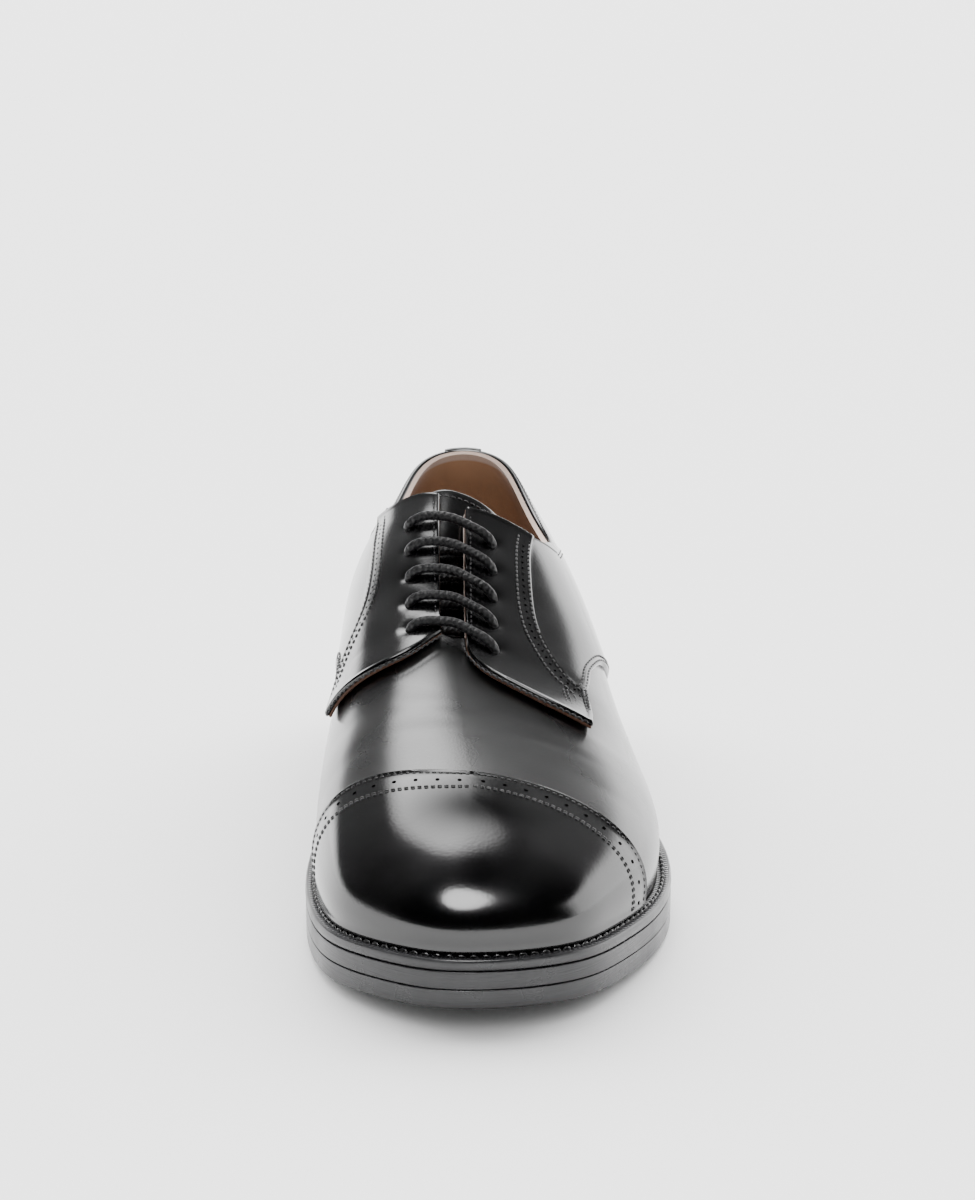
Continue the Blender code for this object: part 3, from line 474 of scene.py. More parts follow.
# Rows of (share of the length, inner and outer height of the topline over the seat).
brim_rows = [(0.0, 1.0, 1.0), (0.3, 1.0, 1.0), (0.600, 1.300, 0.980), (0.630, 1.220, 0.930),
             (0.670, 1.080, 0.870), (0.710, 0.930, 0.800), (0.790, 0.780, 0.735), (0.840, 0.790, 0.755),
             (0.890, 0.835, 0.810), (0.940, 0.900, 0.890), (1.0, 1.0, 1.0)]
brim_line = round_line([(s, a * BACK_HEIGHT, b * BACK_HEIGHT) for s, a, b in brim_rows])


def brim_level(turn):
    """Levels of the topline behind the facings."""
    turn = np.asarray(turn, float)
    target = seat(edge(turn)[1]) + brim_line(wrapped(turn))
    return solved(lambda level: last(turn, level)[..., 2],
                  np.full(turn.shape, BULGE_LEVEL), np.ones(turn.shape), target)


def slot_level(turn, margin=0.0):
    """The levels along one side of the slot, or a margin away from it."""
    return beside_ridge(turn, SLOT_WIDTH / 2 + margin)


def spot(sign, station, level):
    """A (turn, level) place on the inner (-1) or outer (1) wall."""
    return sign * float(turn_of(station)), level


def run_of(path):
    """Distance along a line of points, from its first."""
    return np.concatenate([[0], np.cumsum(np.linalg.norm(np.diff(path, axis=0), axis=-1))])


def track(points, shares):
    """Places along a smooth line through (turn, level) points, at shares of its length."""
    points = np.array(points, float)
    stops = run_of(points)
    at = np.asarray(shares) * stops[-1]
    return np.stack([Line(stops, points[:, 0])(at), Line(stops, points[:, 1])(at)], axis=-1)


heads = {}
for sign, top, rows in ((-1, 0.624, [(0.630, 0.880), (0.641, 0.784), (0.663, 0.670), (0.684, 0.600)]),
                        (1, 0.609, [(0.6135, 0.880), (0.6145, 0.800), (0.616, 0.690)])):
    start = sign * float(turn_of(top))
    heads[sign] = [(start, float(slot_level(start)))] + [spot(sign, *row) for row in rows]


def shell_top(turn):
    """The highest level of the wall at each turn: ridge, edge of the slot, or topline."""
    tops = brim_level(turn)
    for sign in (-1, 1):
        ends = np.array(heads[sign])
        place = turn * sign
        head = np.interp(place, ends[:, 0] * sign, ends[:, 1])
        tops = np.where((place > THROAT) & (place <= ends[0, 0] * sign), slot_level(turn, LAYER_GAP), tops)
        tops = np.where((place > ends[0, 0] * sign) & (place <= ends[-1, 0] * sign), head, tops)
    return np.where(np.abs(turn) <= THROAT + 1e-9, 1.0, tops)


def creases(turn, level):
    """Soft troughs across the vamp where the foot bends, and pulls that fan out from the throat."""
    base = last(turn, level)
    x, y = base[..., 0], base[..., 1]
    sink = np.zeros(x.shape)
    # Rows of (place along the shoe, tilt, curve, width, depth, inner end, outer end).
    for middle, tilt, curve, width, depth, left, right in (
            (0.0835, 0.10, 1.8, 0.0034, 0.00018, -0.034, 0.020),
            (0.0950, -0.05, 2.4, 0.0034, 0.00016, -0.030, 0.031),
            (0.0900, -0.20, 0.8, 0.0016, 0.00035, 0.014, 0.026)):
        line = middle + tilt * x + curve * x * x
        fade = 1 / (1 + np.exp(-(x - left) / 0.004)) / (1 + np.exp((x - right) / 0.004))
        sink += depth * np.exp(-((y - line) / width) ** 2) * fade
        sink -= 0.35 * depth * np.exp(-((y - line - 2.2 * width) / (1.3 * width)) ** 2) * fade
    return -sink


def grain_group():
    """Fine calf grain: small cells, shallow wrinkles between them, and slow cloudy changes."""
    group = bpy.data.node_groups.new("calf_grain", "ShaderNodeTree")
    group.interface.new_socket("Cells", in_out="INPUT", socket_type="NodeSocketFloat")
    group.interface.new_socket("Height", in_out="OUTPUT", socket_type="NodeSocketFloat")
    group.interface.new_socket("Clouds", in_out="OUTPUT", socket_type="NodeSocketFloat")
    inside = group.nodes.new("NodeGroupInput")
    outside = group.nodes.new("NodeGroupOutput")
    place = group.nodes.new("ShaderNodeTexCoord")
    cells = add_node(group, "ShaderNodeTexVoronoi", feature="SMOOTH_F1", Smoothness=0.6)
    wrinkles = add_node(group, "ShaderNodeTexNoise", Scale=620.0, Detail=5.0, Roughness=0.6)
    clouds = add_node(group, "ShaderNodeTexNoise", Scale=32.0, Detail=3.0)
    mixed = add_node(group, "ShaderNodeMath", operation="ADD")
    for node in (cells, wrinkles, clouds):
        group.links.new(place.outputs["Object"], node.inputs["Vector"])
    group.links.new(inside.outputs["Cells"], cells.inputs["Scale"])
    group.links.new(cells.outputs["Distance"], mixed.inputs[0])
    group.links.new(wrinkles.outputs["Fac"], mixed.inputs[1])
    group.links.new(mixed.outputs[0], outside.inputs["Height"])
    group.links.new(clouds.outputs["Fac"], outside.inputs["Clouds"])
    return group


grain = grain_group()
CALF_BLACK = (0.0003, 0.0003, 0.0005)


def calf(name, roughness, coat, coat_roughness, grain_depth, cells=950.0):
    """Polished black calf: a clear wax shine over a fine grain that shows in the highlights."""
    material, tree, shader = new_material(name, CALF_BLACK, roughness, coat, coat_roughness)
    group = tree.nodes.new("ShaderNodeGroup")
    group.node_tree = grain
    group.inputs["Cells"].default_value = cells
    dull = ranged(tree, group.outputs["Clouds"], 0.3, 0.7, roughness - 0.05, roughness + 0.07)
    tree.links.new(dull, shader.inputs["Roughness"])
    bumped(tree, shader, group.outputs["Height"], grain_depth, 0.00016)
    return material


vamp_leather = calf("vamp_calf", 0.27, 0.55, 0.19, 0.06, 1300.0)

LINING_TANS = ((0.26, 0.125, 0.062), (0.42, 0.235, 0.130))
COLLAR_BINDING = (0.46, 0.34, 0.28)
lining_finish, tree, shader = new_material("lining_suede", LINING_TANS[0], 0.85)
shader.inputs["Sheen Weight"].default_value = 0.5
shader.inputs["Sheen Roughness"].default_value = 0.4
nap = textured(tree, "ShaderNodeTexNoise", Scale=900.0, Detail=4.0)
blotches = textured(tree, "ShaderNodeTexNoise", Scale=45.0, Detail=3.0)
down_wall = add_node(tree, "ShaderNodeUVMap")
down_split = add_node(tree, "ShaderNodeSeparateXYZ")
tree.links.new(down_wall.outputs["UV"], down_split.inputs[0])
binding = ranged(tree, down_split.outputs["Y"], 0.0024, 0.0034, 1.0, 0.0)
tint = add_node(tree, "ShaderNodeMix", data_type="RGBA")
tint.inputs[6].default_value = (*LINING_TANS[0], 1)
tint.inputs[7].default_value = (*LINING_TANS[1], 1)
edged = add_node(tree, "ShaderNodeMix", data_type="RGBA")
edged.inputs[7].default_value = (*COLLAR_BINDING, 1)
tree.links.new(blotches.outputs["Fac"], tint.inputs[0])
tree.links.new(tint.outputs[2], edged.inputs[6])
tree.links.new(binding, edged.inputs[0])
tree.links.new(edged.outputs[2], shader.inputs["Base Color"])
bumped(tree, shader, nap.outputs["Fac"], 0.5, 0.0002)

front_turns = np.linspace(-THROAT, THROAT, 161)
slot_turns = {sign: np.linspace(THROAT, abs(heads[sign][0][0]), 26)[1:] * sign for sign in (-1, 1)}
head_turns = {sign: np.linspace(abs(heads[sign][0][0]), abs(heads[sign][-1][0]), 12)[1:] * sign
              for sign in (-1, 1)}
rear_turns = {sign: np.linspace(abs(heads[sign][-1][0]), math.pi, 72)[1:] * sign for sign in (-1, 1)}
shell_turns = np.concatenate([rear_turns[-1][::-1], head_turns[-1][::-1], slot_turns[-1][::-1],
                              front_turns, slot_turns[1], head_turns[1], rear_turns[1]])
tops = shell_top(shell_turns)
ups = np.concatenate([np.linspace(0, 0.96, 58), [0.975, 0.988, 0.996, 1.0]])
levels = tops[None, :] * ups[:, None]
turns = np.broadcast_to(shell_turns[None, :], levels.shape)
outside = over(turns, levels, SHELL_THICK + creases(turns, levels))
inside = over(turns, levels, np.zeros(levels.shape))
depth_down = np.linalg.norm(inside - inside[-1:], axis=-1)
inside_uv = np.stack([turns, depth_down], axis=-1)
bm = bmesh.new()
add_grid(bm, placed(outside))
for face in add_grid(bm, placed(inside), inside_uv):
    face.material_index = 1
rim_uv = np.zeros((2, len(shell_turns), 2))
add_grid(bm, placed(np.stack([outside[0], inside[0]])), rim_uv)
closed = np.abs(shell_turns) <= THROAT + 1e-9
first = int(np.argmax(closed))
final = len(closed) - int(np.argmax(closed[::-1]))
rim = np.stack([outside[-1], inside[-1]])
for part in (slice(0, first + 1), slice(final - 1, len(closed))):
    for face in add_grid(bm, placed(rim[:, part]), rim_uv[:, part]):
        face.material_index = 1
finished("upper_shell", bm, [vamp_leather, lining_finish], ["upper"], angle=50)

# Toe cap
# A stiff cap folded over the toe, the most polished panel of the shoe. Its rear edge dips at the
# middle and swings forward on the outer side. Punch holes run between two double rows of stitching.
CAP_LENGTH = 0.060
CAP_SWEEP = {-1: 0.50, 1: -0.62}
CAP_LOW = 0.0014
CAP_HIGH = 0.0031
CAP_ROUND = 0.0009
CAP_ROWS = (0.0011, 0.0020, 0.0094, 0.0103)
CAP_PUNCH_ROW = 0.0056
cap_leather = calf("cap_calf", 0.17, 0.7, 0.09, 0.05)
# A painted dark reflection on the crown of the cap: a mask there dims the coat and the specular.
tree = cap_leather.node_tree
shader = tree.nodes["Principled BSDF"]
place = add_node(tree, "ShaderNodeTexCoord")
crown_place = add_node(tree, "ShaderNodeMapping", vector_type="TEXTURE")
crown_place.inputs["Location"].default_value = (-0.004, -0.109, 0.042)
crown_place.inputs["Scale"].default_value = (0.034, 0.024, 0.05)
crown = add_node(tree, "ShaderNodeTexGradient", gradient_type="SPHERICAL")
tree.links.new(place.outputs["Object"], crown_place.inputs["Vector"])
tree.links.new(crown_place.outputs["Vector"], crown.inputs["Vector"])
# Painted dark reflection: the coat and specular fall to almost nothing at the middle of the crown.
crown_dark_reflection = ranged(tree, crown.outputs["Fac"], 0.0, 0.9, 0.5, 0.03, kind="SMOOTHSTEP")
tree.links.new(crown_dark_reflection, shader.inputs["Coat Weight"])
tree.links.new(crown_dark_reflection, shader.inputs["Specular IOR Level"])


def cap_turn(sign, level):
    """Turns where the cap's rear edge crosses the given levels."""
    level = np.asarray(level, float)

    def beyond(turn):
        points = over(sign * turn, level, np.full(level.shape, SHELL_THICK))
        share = (points[..., 0] - crest_shift(CAP_LENGTH)) / BALL_WIDTH
        return points[..., 1] - CAP_LENGTH - BALL_WIDTH * CAP_SWEEP[sign] * share * share
    return sign * solved(beyond, np.zeros(level.shape), np.full(level.shape, turn_of(0.45)), 0.0)


def rounding(distance, radius):
    """How full a rounded edge is at a distance in from it."""
    return np.sqrt(1 - (1 - np.clip(distance / radius, 0, 1)) ** 2)


def folded(distance, inset, rise):
    """How much thicker a panel is where its edge is turned under."""
    return rise * np.exp(-((distance - inset) / (0.6 * inset)) ** 2)


def length_from(points, axis, backwards=False):
    """Distance along each grid line from its start, or from its end."""
    steps = np.linalg.norm(np.diff(points, axis=axis), axis=-1)
    total = np.cumsum(steps, axis=axis)
    zero = np.zeros_like(np.take(total, [0], axis=axis))
    run = np.concatenate([zero, total], axis=axis)
    return np.take(run, [-1], axis=axis) - run if backwards else run


def closer_ends(count, rim):
    """Shares from 0 to 1, evenly spread but with close steps over the rounded edges."""
    near = rim * np.array([0.0, 0.03, 0.12, 0.3, 0.6])
    return np.concatenate([near, np.linspace(rim, 1 - rim, count), 1 - near[::-1]])


across_shares = closer_ends(120, 0.008)
cap_ups = np.concatenate([[0, 0.002, 0.006, 0.012, 0.02], np.linspace(0.03, 1, 52)])
foot_turns = {sign: float(cap_turn(sign, BULGE_LEVEL / 3)) for sign in (-1, 1)}
cap_levels = np.zeros((len(cap_ups), len(across_shares)))
cap_turns = np.zeros(cap_levels.shape)
reach_top = float(cap_turn(1, 1.0))
for sign in (-1, 1):
    half = np.nonzero((across_shares < 0.5) == (sign < 0))[0]
    share = np.abs(2 * across_shares[half] - 1)
    bottom = over_welt_level(share * foot_turns[sign], CAP_HIGH) + 0.002
    cap_levels[:, half] = bottom + (1 - bottom) * cap_ups[:, None]
    reach = cap_turn(sign, cap_levels[:, half])
    reach[-1] = sign * reach_top
    cap_turns[:, half] = reach * share
middle_surface = over(cap_turns, cap_levels, np.full(cap_levels.shape, CAP_LOW))
from_edge = np.minimum.reduce([length_from(middle_surface, 1), length_from(middle_surface, 1, True),
                               length_from(middle_surface, 0)])
fullness = rounding(from_edge, CAP_ROUND)
middle_height = (CAP_LOW + CAP_HIGH) / 2
bm = bmesh.new()
hem = folded(length_from(middle_surface, 0, True), 0.0008, 0.0004)
hem = hem + folded(from_edge, CAP_ROUND, 0.0004)
for height, thicker in ((CAP_HIGH, 1.0), (CAP_LOW, 0.0)):
    skin = middle_height + (height - middle_height) * fullness + thicker * fullness * hem
    add_grid(bm, placed(over(cap_turns, cap_levels, skin)))
finished("toe_cap_panel", bm, [cap_leather], ["toe_cap"], angle=60)


def beside(turns, levels, distance):
    """A line moved sideways over the surface, to the left of its way seen from outside."""
    small = 1e-3
    round_way = (last(turns + small, levels) - last(turns - small, levels)) / (2 * small)
    up_way = (last(turns, levels + small) - last(turns, levels - small)) / (2 * small)
    path = last(turns, levels)
    way = np.gradient(path, axis=0)
    side = np.cross(last_normal(turns, levels), way)
    side *= distance / np.linalg.norm(side, axis=-1, keepdims=True)
    a = (round_way * round_way).sum(-1)
    b = (round_way * up_way).sum(-1)
    c = (up_way * up_way).sum(-1)
    p = (side * round_way).sum(-1)
    q = (side * up_way).sum(-1)
    scale = a * c - b * b
    return turns + (p * c - q * b) / scale, levels + (q * a - p * b) / scale


def evenly(path, normals, pitch):
    """Points and normals at an even pitch along a line."""
    run = run_of(path)
    count = max(2, round(run[-1] / pitch))
    at = run[-1] * (np.arange(count) + 0.5) / count
    points = np.stack([np.interp(at, run, path[:, k]) for k in range(3)], axis=-1)
    facing = np.stack([np.interp(at, run, normals[:, k]) for k in range(3)], axis=-1)
    return points, facing


def add_thread(bm, path, normals, pitch, radius, rest=0.2):
    """A thread sewn along a line: it lies on the leather, and dives into it between stitches."""
    run = run_of(path)
    count = max(2, round(run[-1] / pitch))
    phase = np.concatenate([np.array([0, 0.07, 0.15, 0.3, 0.5, 0.7, 0.85, 0.93]) + k for k in range(count)])
    at = run[-1] * phase / count
    points = np.stack([np.interp(at, run, path[:, k]) for k in range(3)], axis=-1)
    facing = np.stack([np.interp(at, run, normals[:, k]) for k in range(3)], axis=-1)
    facing /= np.linalg.norm(facing, axis=-1, keepdims=True)
    ways = np.gradient(points, axis=0)
    ways /= np.maximum(np.linalg.norm(ways, axis=-1, keepdims=True), 1e-9)
    sides = np.cross(facing, ways)
    dip = np.abs(np.cos(math.pi * phase)) ** 6
    middle = points + facing * (radius * (rest - 2.0 * dip))[:, None]
    angles = np.linspace(0, 2 * math.pi, 8)[:, None, None]
    tube = middle[None] + radius * (np.cos(angles) * sides[None] + np.sin(angles) * facing[None])
    add_grid(bm, placed(tube))


def sewn(bm, turns, levels, height, pitch=0.0021, radius=0.00028, sideways=0.0):
    """A row of stitches over the leather, moved sideways off its line."""
    if sideways:
        turns, levels = beside(turns, levels, sideways)
    add_thread(bm, over(turns, levels, np.full(turns.shape, height)), last_normal(turns, levels),
               pitch, radius)


def trimmed(name, bm, finish):
    """Stitches or punch holes as one of the shoe's pieces."""
    finished(name, bm, [finish], angle=80, merge=1e-9)


def add_punches(bm, turns, levels, height, pitch, radius, sideways=0.0):
    """Flat matt black discs at an even pitch for the punched holes: the leather below is black, and the
    shade inside each hole is painted.
    """
    if sideways:
        turns, levels = beside(turns, levels, sideways)
    path = over(turns, levels, np.full(turns.shape, height))
    for point, normal in zip(*evenly(path, last_normal(turns, levels), pitch)):
        turn_to = Vector(normal).to_track_quat("Z", "Y").to_matrix().to_4x4()
        turn_to.translation = Vector(placed(point + 0.00006 * normal))
        bmesh.ops.create_circle(bm, cap_ends=True, segments=12, radius=radius, matrix=turn_to)


thread_finish, tree, shader = new_material("waxed_thread", (0.003, 0.003, 0.0035), 0.35, 0.2, 0.3)
twist = textured(tree, "ShaderNodeTexWave", Scale=420.0, Distortion=1.0)
bumped(tree, shader, twist.outputs["Fac"], 0.3, 0.0001)
# The punch holes are not cut: each is a flat matt black disc, the shade inside the hole painted over the
# black leather beneath.
hole_shade_finish = new_material("punched_hole_shade", (0.001, 0.001, 0.001), 1.0, specular=0.0)[0]

cap_edge_levels = np.linspace(0.09, 0.9985, 140)
cap_edges = {-1: (cap_turn(-1, cap_edge_levels), cap_edge_levels),
             1: (cap_turn(1, cap_edge_levels)[::-1], cap_edge_levels[::-1])}
bm = bmesh.new()
holes = bmesh.new()
for edge_turns, edge_levels in cap_edges.values():
    for inset in CAP_ROWS:
        sewn(bm, edge_turns, edge_levels, CAP_HIGH, 0.0019, 0.00027, -inset)
    add_punches(holes, edge_turns, edge_levels, CAP_HIGH, 0.0060, 0.00060, -CAP_PUNCH_ROW)
trimmed("cap_stitches", bm, thread_finish)
trimmed("cap_punches", holes, hole_shade_finish)

# Quarters and back strip
# The two rear panels, sewn over the vamp along an arched seam in front. Their top edge is folded
# and double-sewn round the collar, and a strip covers the join up the heel.
QUARTER_LOW = 0.0013
QUARTER_HIGH = 0.0031
STRIP_HIGH = 0.0040
STRIP_HALF = 0.0085
STRIP_STITCH_INSET = 0.0012
SEAT_RADIUS = 0.033
SEAM_ROWS = (0.0011, 0.0027)
COLLAR_ROWS = (0.0014, 0.0026)
FACING_HIGH = 0.0039
panel_leather = calf("panel_calf", 0.17, 0.4, 0.10, 0.06)
# Each line goes through (share of the length, level up the wall), for the inner and outer side.
flaps = {-1: [(0.378, 0.900), (0.3685, 0.846), (0.366, 0.772), (0.3705, 0.688), (0.3815, 0.587),
              (0.392, 0.500), (0.398, 0.430)],
         1: [(0.368, 0.966), (0.350, 0.937), (0.340, 0.887), (0.3335, 0.830), (0.3280, 0.765),
             (0.3250, 0.690), (0.3235, 0.618)]}
bands = {-1: [(0.430, 0.415), (0.452, 0.440), (0.474, 0.485), (0.492, 0.540), (0.510, 0.580),
              (0.545, 0.603), (0.592, 0.605), (0.640, 0.603), (0.684, 0.600)],
         1: [(0.356, 0.600), (0.386, 0.604), (0.400, 0.656), (0.4264, 0.704), (0.457, 0.731),
             (0.489, 0.739), (0.528, 0.734), (0.580, 0.716), (0.616, 0.690)]}
seams = {-1: [(0.590, 0.110), (0.575, 0.210), (0.546, 0.310), (0.506, 0.378), (0.466, 0.408)],
         1: [(0.572, 0.120), (0.552, 0.240), (0.5186, 0.355), (0.497, 0.430), (0.471, 0.492),
             (0.442, 0.541), (0.405, 0.582)]}
flap_lines, band_lines, seam_lines, collar_lines = {}, {}, {}, {}
for sign in (-1, 1):
    corner = [(sign * THROAT, float(slot_level(sign * THROAT)))]
    flap_lines[sign] = corner + [spot(sign, *row) for row in flaps[sign]]
    band_lines[sign] = flap_lines[sign][-1:] + [spot(sign, *row) for row in bands[sign]]


def filled(front, back, low, high, shares_back, shares_up):
    """A grid of places between four edges: front and back run up, low and high run backwards."""
    a = shares_back[:, None, None]
    b = shares_up[None, :, None]
    along = (1 - b) * low[:, None] + b * high[:, None]
    up = (1 - a) * front[None] + a * back[None]
    corners = ((1 - a) * (1 - b) * low[0] + a * (1 - b) * low[-1]
               + (1 - a) * b * high[0] + a * b * high[-1])
    grid = along + up - corners
    return grid[..., 0], grid[..., 1]


def from_borders(base, borders):
    """Distance of each grid point from the nearest of the wanted edges."""
    runs = {"front": lambda: length_from(base, 0), "back": lambda: length_from(base, 0, True),
            "low": lambda: length_from(base, 1), "high": lambda: length_from(base, 1, True)}
    return np.minimum.reduce([runs[name]() for name in borders])


def add_panel(bm, turns, levels, low, high, rim, borders, lift=0.0):
    """A panel with rounded edges: two faces over the last that meet along its border."""
    base = over(turns, levels, np.full(turns.shape, low))
    distance = from_borders(base, borders)
    fullness = rounding(distance, rim)
    middle = (low + high) / 2
    for height, fold in ((high, 0.00028), (low, 0.0)):
        skin = middle + (height - middle + folded(distance, 0.0008, fold)) * fullness
        add_grid(bm, placed(over(turns, levels, skin + lift)))


strip_turn = math.pi - float(solved(lambda turn: -edge(turn)[0], float(turn_of(0.9)), math.pi, -STRIP_HALF))
quarter_shares = closer_ends(110, 0.004)
quarter_ups = closer_ends(44, 0.012)
for sign, name in ((-1, "inner"), (1, "outer")):
    end = sign * (math.pi - strip_turn * 0.8)
    start = band_lines[sign][-1][0] + sign * 0.05
    band_turns, band_levels = track(band_lines[sign], np.linspace(0.25, 1, 60)).T
    tucked = beside(band_turns, band_levels, sign * 0.0025)
    brim_turns = np.linspace(start, end, 80)
    collar_lines[sign] = (brim_turns, brim_level(brim_turns))
    top_edge = np.concatenate([np.stack(tucked, axis=-1), np.stack(collar_lines[sign], axis=-1)])
    stops = run_of(top_edge)
    at = quarter_shares * stops[-1]
    high = np.stack([np.interp(at, stops, top_edge[:, k]) for k in range(2)], axis=-1)
    ahead = sign * float(turn_of(seams[sign][0][0])) - high[0, 0]
    low_turns = high[:, 0] + ahead * (1 - quarter_shares) ** 2
    low = np.stack([low_turns, over_welt_level(low_turns, QUARTER_HIGH) + 0.003], axis=-1)
    front_line = [tuple(low[0])] + [spot(sign, *row) for row in seams[sign]] + [tuple(high[0])]
    seam_lines[sign] = front_line
    front = track(front_line, quarter_ups)
    back = low[-1] + (high[-1] - low[-1]) * quarter_ups[:, None]
    turns, levels = filled(front, back, low, high, quarter_shares, quarter_ups)
    bm = bmesh.new()
    add_panel(bm, turns, levels, QUARTER_LOW, QUARTER_HIGH, 0.0007, ("front", "high"))
    node = "quarter_" + name
    finished(node + "_panel", bm, [panel_leather], [node], angle=60)

strip_turns = math.pi + strip_turn * np.linspace(-1, 1, 29)
strip_low = over_welt_level(strip_turns, FACING_HIGH) + 0.003
strip_high = brim_level(strip_turns) + 0.004
strip_ups = closer_ends(44, 0.012)
levels = strip_low[:, None] + (strip_high - strip_low)[:, None] * strip_ups[None]
turns = np.broadcast_to(strip_turns[:, None], levels.shape)
bm = bmesh.new()
add_panel(bm, turns, levels, QUARTER_LOW, STRIP_HIGH, 0.0008, ("front", "back", "high"))
finished("back_strip_panel", bm, [panel_leather], ["back_strip"], angle=60)

bm = bmesh.new()
for sign in (-1, 1):
    seam_turns, seam_levels = track(seam_lines[sign], np.linspace(0.03, 0.93, 200)).T
    for inset in SEAM_ROWS:
        sewn(bm, seam_turns, seam_levels, QUARTER_HIGH, 0.0021, 0.00036, -sign * inset)
    for drop in COLLAR_ROWS:
        sewn(bm, *collar_lines[sign], QUARTER_HIGH, 0.0022, 0.00026, -sign * drop)
    side_levels = np.linspace(0.10, 1, 120) * (float(brim_level(math.pi - strip_turn)) - 0.01)
    side_turns = np.full(120, sign * (math.pi - strip_turn)) + sign * STRIP_STITCH_INSET / SEAT_RADIUS
    sewn(bm, side_turns, side_levels, STRIP_HIGH, 0.0024, 0.00026)
trimmed("quarter_stitches", bm, thread_finish)

# Facings
# Two stiff eyelet panels that lace over the tongue. Their front flaps lie loose over the vamp, a
# raw brown lining edge shows under them, and a double-sewn punched band turns down to a tab.
FIRST_EYELET = 0.409
EYELET_PITCH = 0.0132
EYELET_SKEW = 0.0060
EYELET_INSET = 0.0084
EYELET_COUNT = 5
FACING_LOW = 0.0024
LINING_HIGH = 0.0025
LINING_LOW = 0.0016
DIMPLE_DEPTH = 0.0007
DIMPLE_RADIUS = 0.0030
BAND_ROWS = (0.0011, 0.0052)
BAND_PUNCH_ROW = 0.0031
EYELET_SIDE = SLOT_WIDTH / 2 + EYELET_INSET


def eyelet_turn(sign, index):
    """The turn of an eyelet, counted from the throat: the outer row sits a little further forward."""
    station = FIRST_EYELET + (index * EYELET_PITCH - (EYELET_SKEW if sign > 0 else 0)) / SOLE_LENGTH
    return float(turn_of(station))


def across_ridge(turn, sideways, height):
    """A point over the instep, at a signed distance sideways from the ridge."""
    sign = -1 if sideways < 0 else 1
    level = beside_ridge(np.array([sign * turn]), abs(sideways)) if abs(sideways) > 1e-5 else np.ones(1)
    return over(np.array([sign * turn]), level, np.full(1, height))[0]


eyelets = {sign: [(eyelet_turn(sign, index), sign * EYELET_SIDE) for index in range(EYELET_COUNT)]
           for sign in (-1, 1)}


def dimples(base, sign):
    """The leather sinks round each eyelet, where the lace pulls it in."""
    sink = np.zeros(base.shape[:-1])
    for turn, sideways in eyelets[sign]:
        away = np.linalg.norm(base - across_ridge(turn, sideways, FACING_HIGH), axis=-1)
        sink -= DIMPLE_DEPTH * np.exp(-(away / DIMPLE_RADIUS) ** 2)
    return sink


lining_edge = new_material("raw_lining_edge", (0.06, 0.022, 0.008), 0.7)[0]
all_round = ("front", "back", "low", "high")
facing_shares = closer_ends(90, 0.009)
facing_ups = closer_ends(44, 0.02)
for sign, name in ((-1, "inner"), (1, "outer")):
    front = track(flap_lines[sign], facing_ups)
    back = track(heads[sign], facing_ups)
    slot_turn = sign * np.interp(facing_shares, [0, 1], [THROAT, abs(heads[sign][0][0])])
    low = np.stack([slot_turn, slot_level(slot_turn)], axis=-1)
    high = track(band_lines[sign], facing_shares)
    turns, levels = filled(front, back, low, high, facing_shares, facing_ups)
    base = over(turns, levels, np.full(turns.shape, FACING_HIGH))
    # The front flap stands a little off the vamp, and the end at the topline curls off the foot.
    loose = 0.0011 * np.clip(1 - length_from(base, 0) / 0.016, 0, 1) ** 1.5
    curled = 0.0008 * np.clip(1 - length_from(base, 0, True) / 0.010, 0, 1) ** 2
    lift = loose + curled + dimples(base, sign)
    bm = bmesh.new()
    add_panel(bm, turns, levels, FACING_LOW, FACING_HIGH, 0.0008, all_round, lift)
    node = "facing_" + name
    finished(node + "_panel", bm, [panel_leather], [node], angle=60)
    bm = bmesh.new()
    add_panel(bm, turns, levels, LINING_LOW, LINING_HIGH, 0.0004, all_round, lift)
    finished(node + "_lining", bm, [lining_edge], angle=60)

bm = bmesh.new()
holes = bmesh.new()
for sign in (-1, 1):
    band = track(band_lines[sign], np.linspace(0.02, 0.985, 260)).T
    for inset in BAND_ROWS:
        sewn(bm, *band, FACING_HIGH, 0.0022, 0.00035, sign * inset)
    add_punches(holes, *band, FACING_HIGH, 0.0030, 0.00042, sign * BAND_PUNCH_ROW)
    flap = track(flap_lines[sign], np.linspace(0.03, 0.97, 200)).T
    sewn(bm, *flap, FACING_HIGH + 0.0010, 0.0021, 0.00028, -sign * 0.0014)
    slot_turn = sign * np.linspace(THROAT + 0.01, abs(heads[sign][0][0]) - 0.01, 160)
    sewn(bm, slot_turn, slot_level(slot_turn, 0.0014), FACING_HIGH, 0.0021, 0.00026)
# Two bar tacks of double thread hold the outer tab.
for start, end in (((0.372, 0.689), (0.3447, 0.685)), ((0.3944, 0.611), (0.3471, 0.620))):
    for shift in (-0.0006, 0.0006):
        tack = track([spot(1, *start), spot(1, *end)], np.linspace(0, 1, 40)).T
        sewn(bm, *tack, FACING_HIGH + 0.0003, 0.0018, 0.0003, shift)
trimmed("facing_stitches", bm, thread_finish)
trimmed("facing_punches", holes, hole_shade_finish)

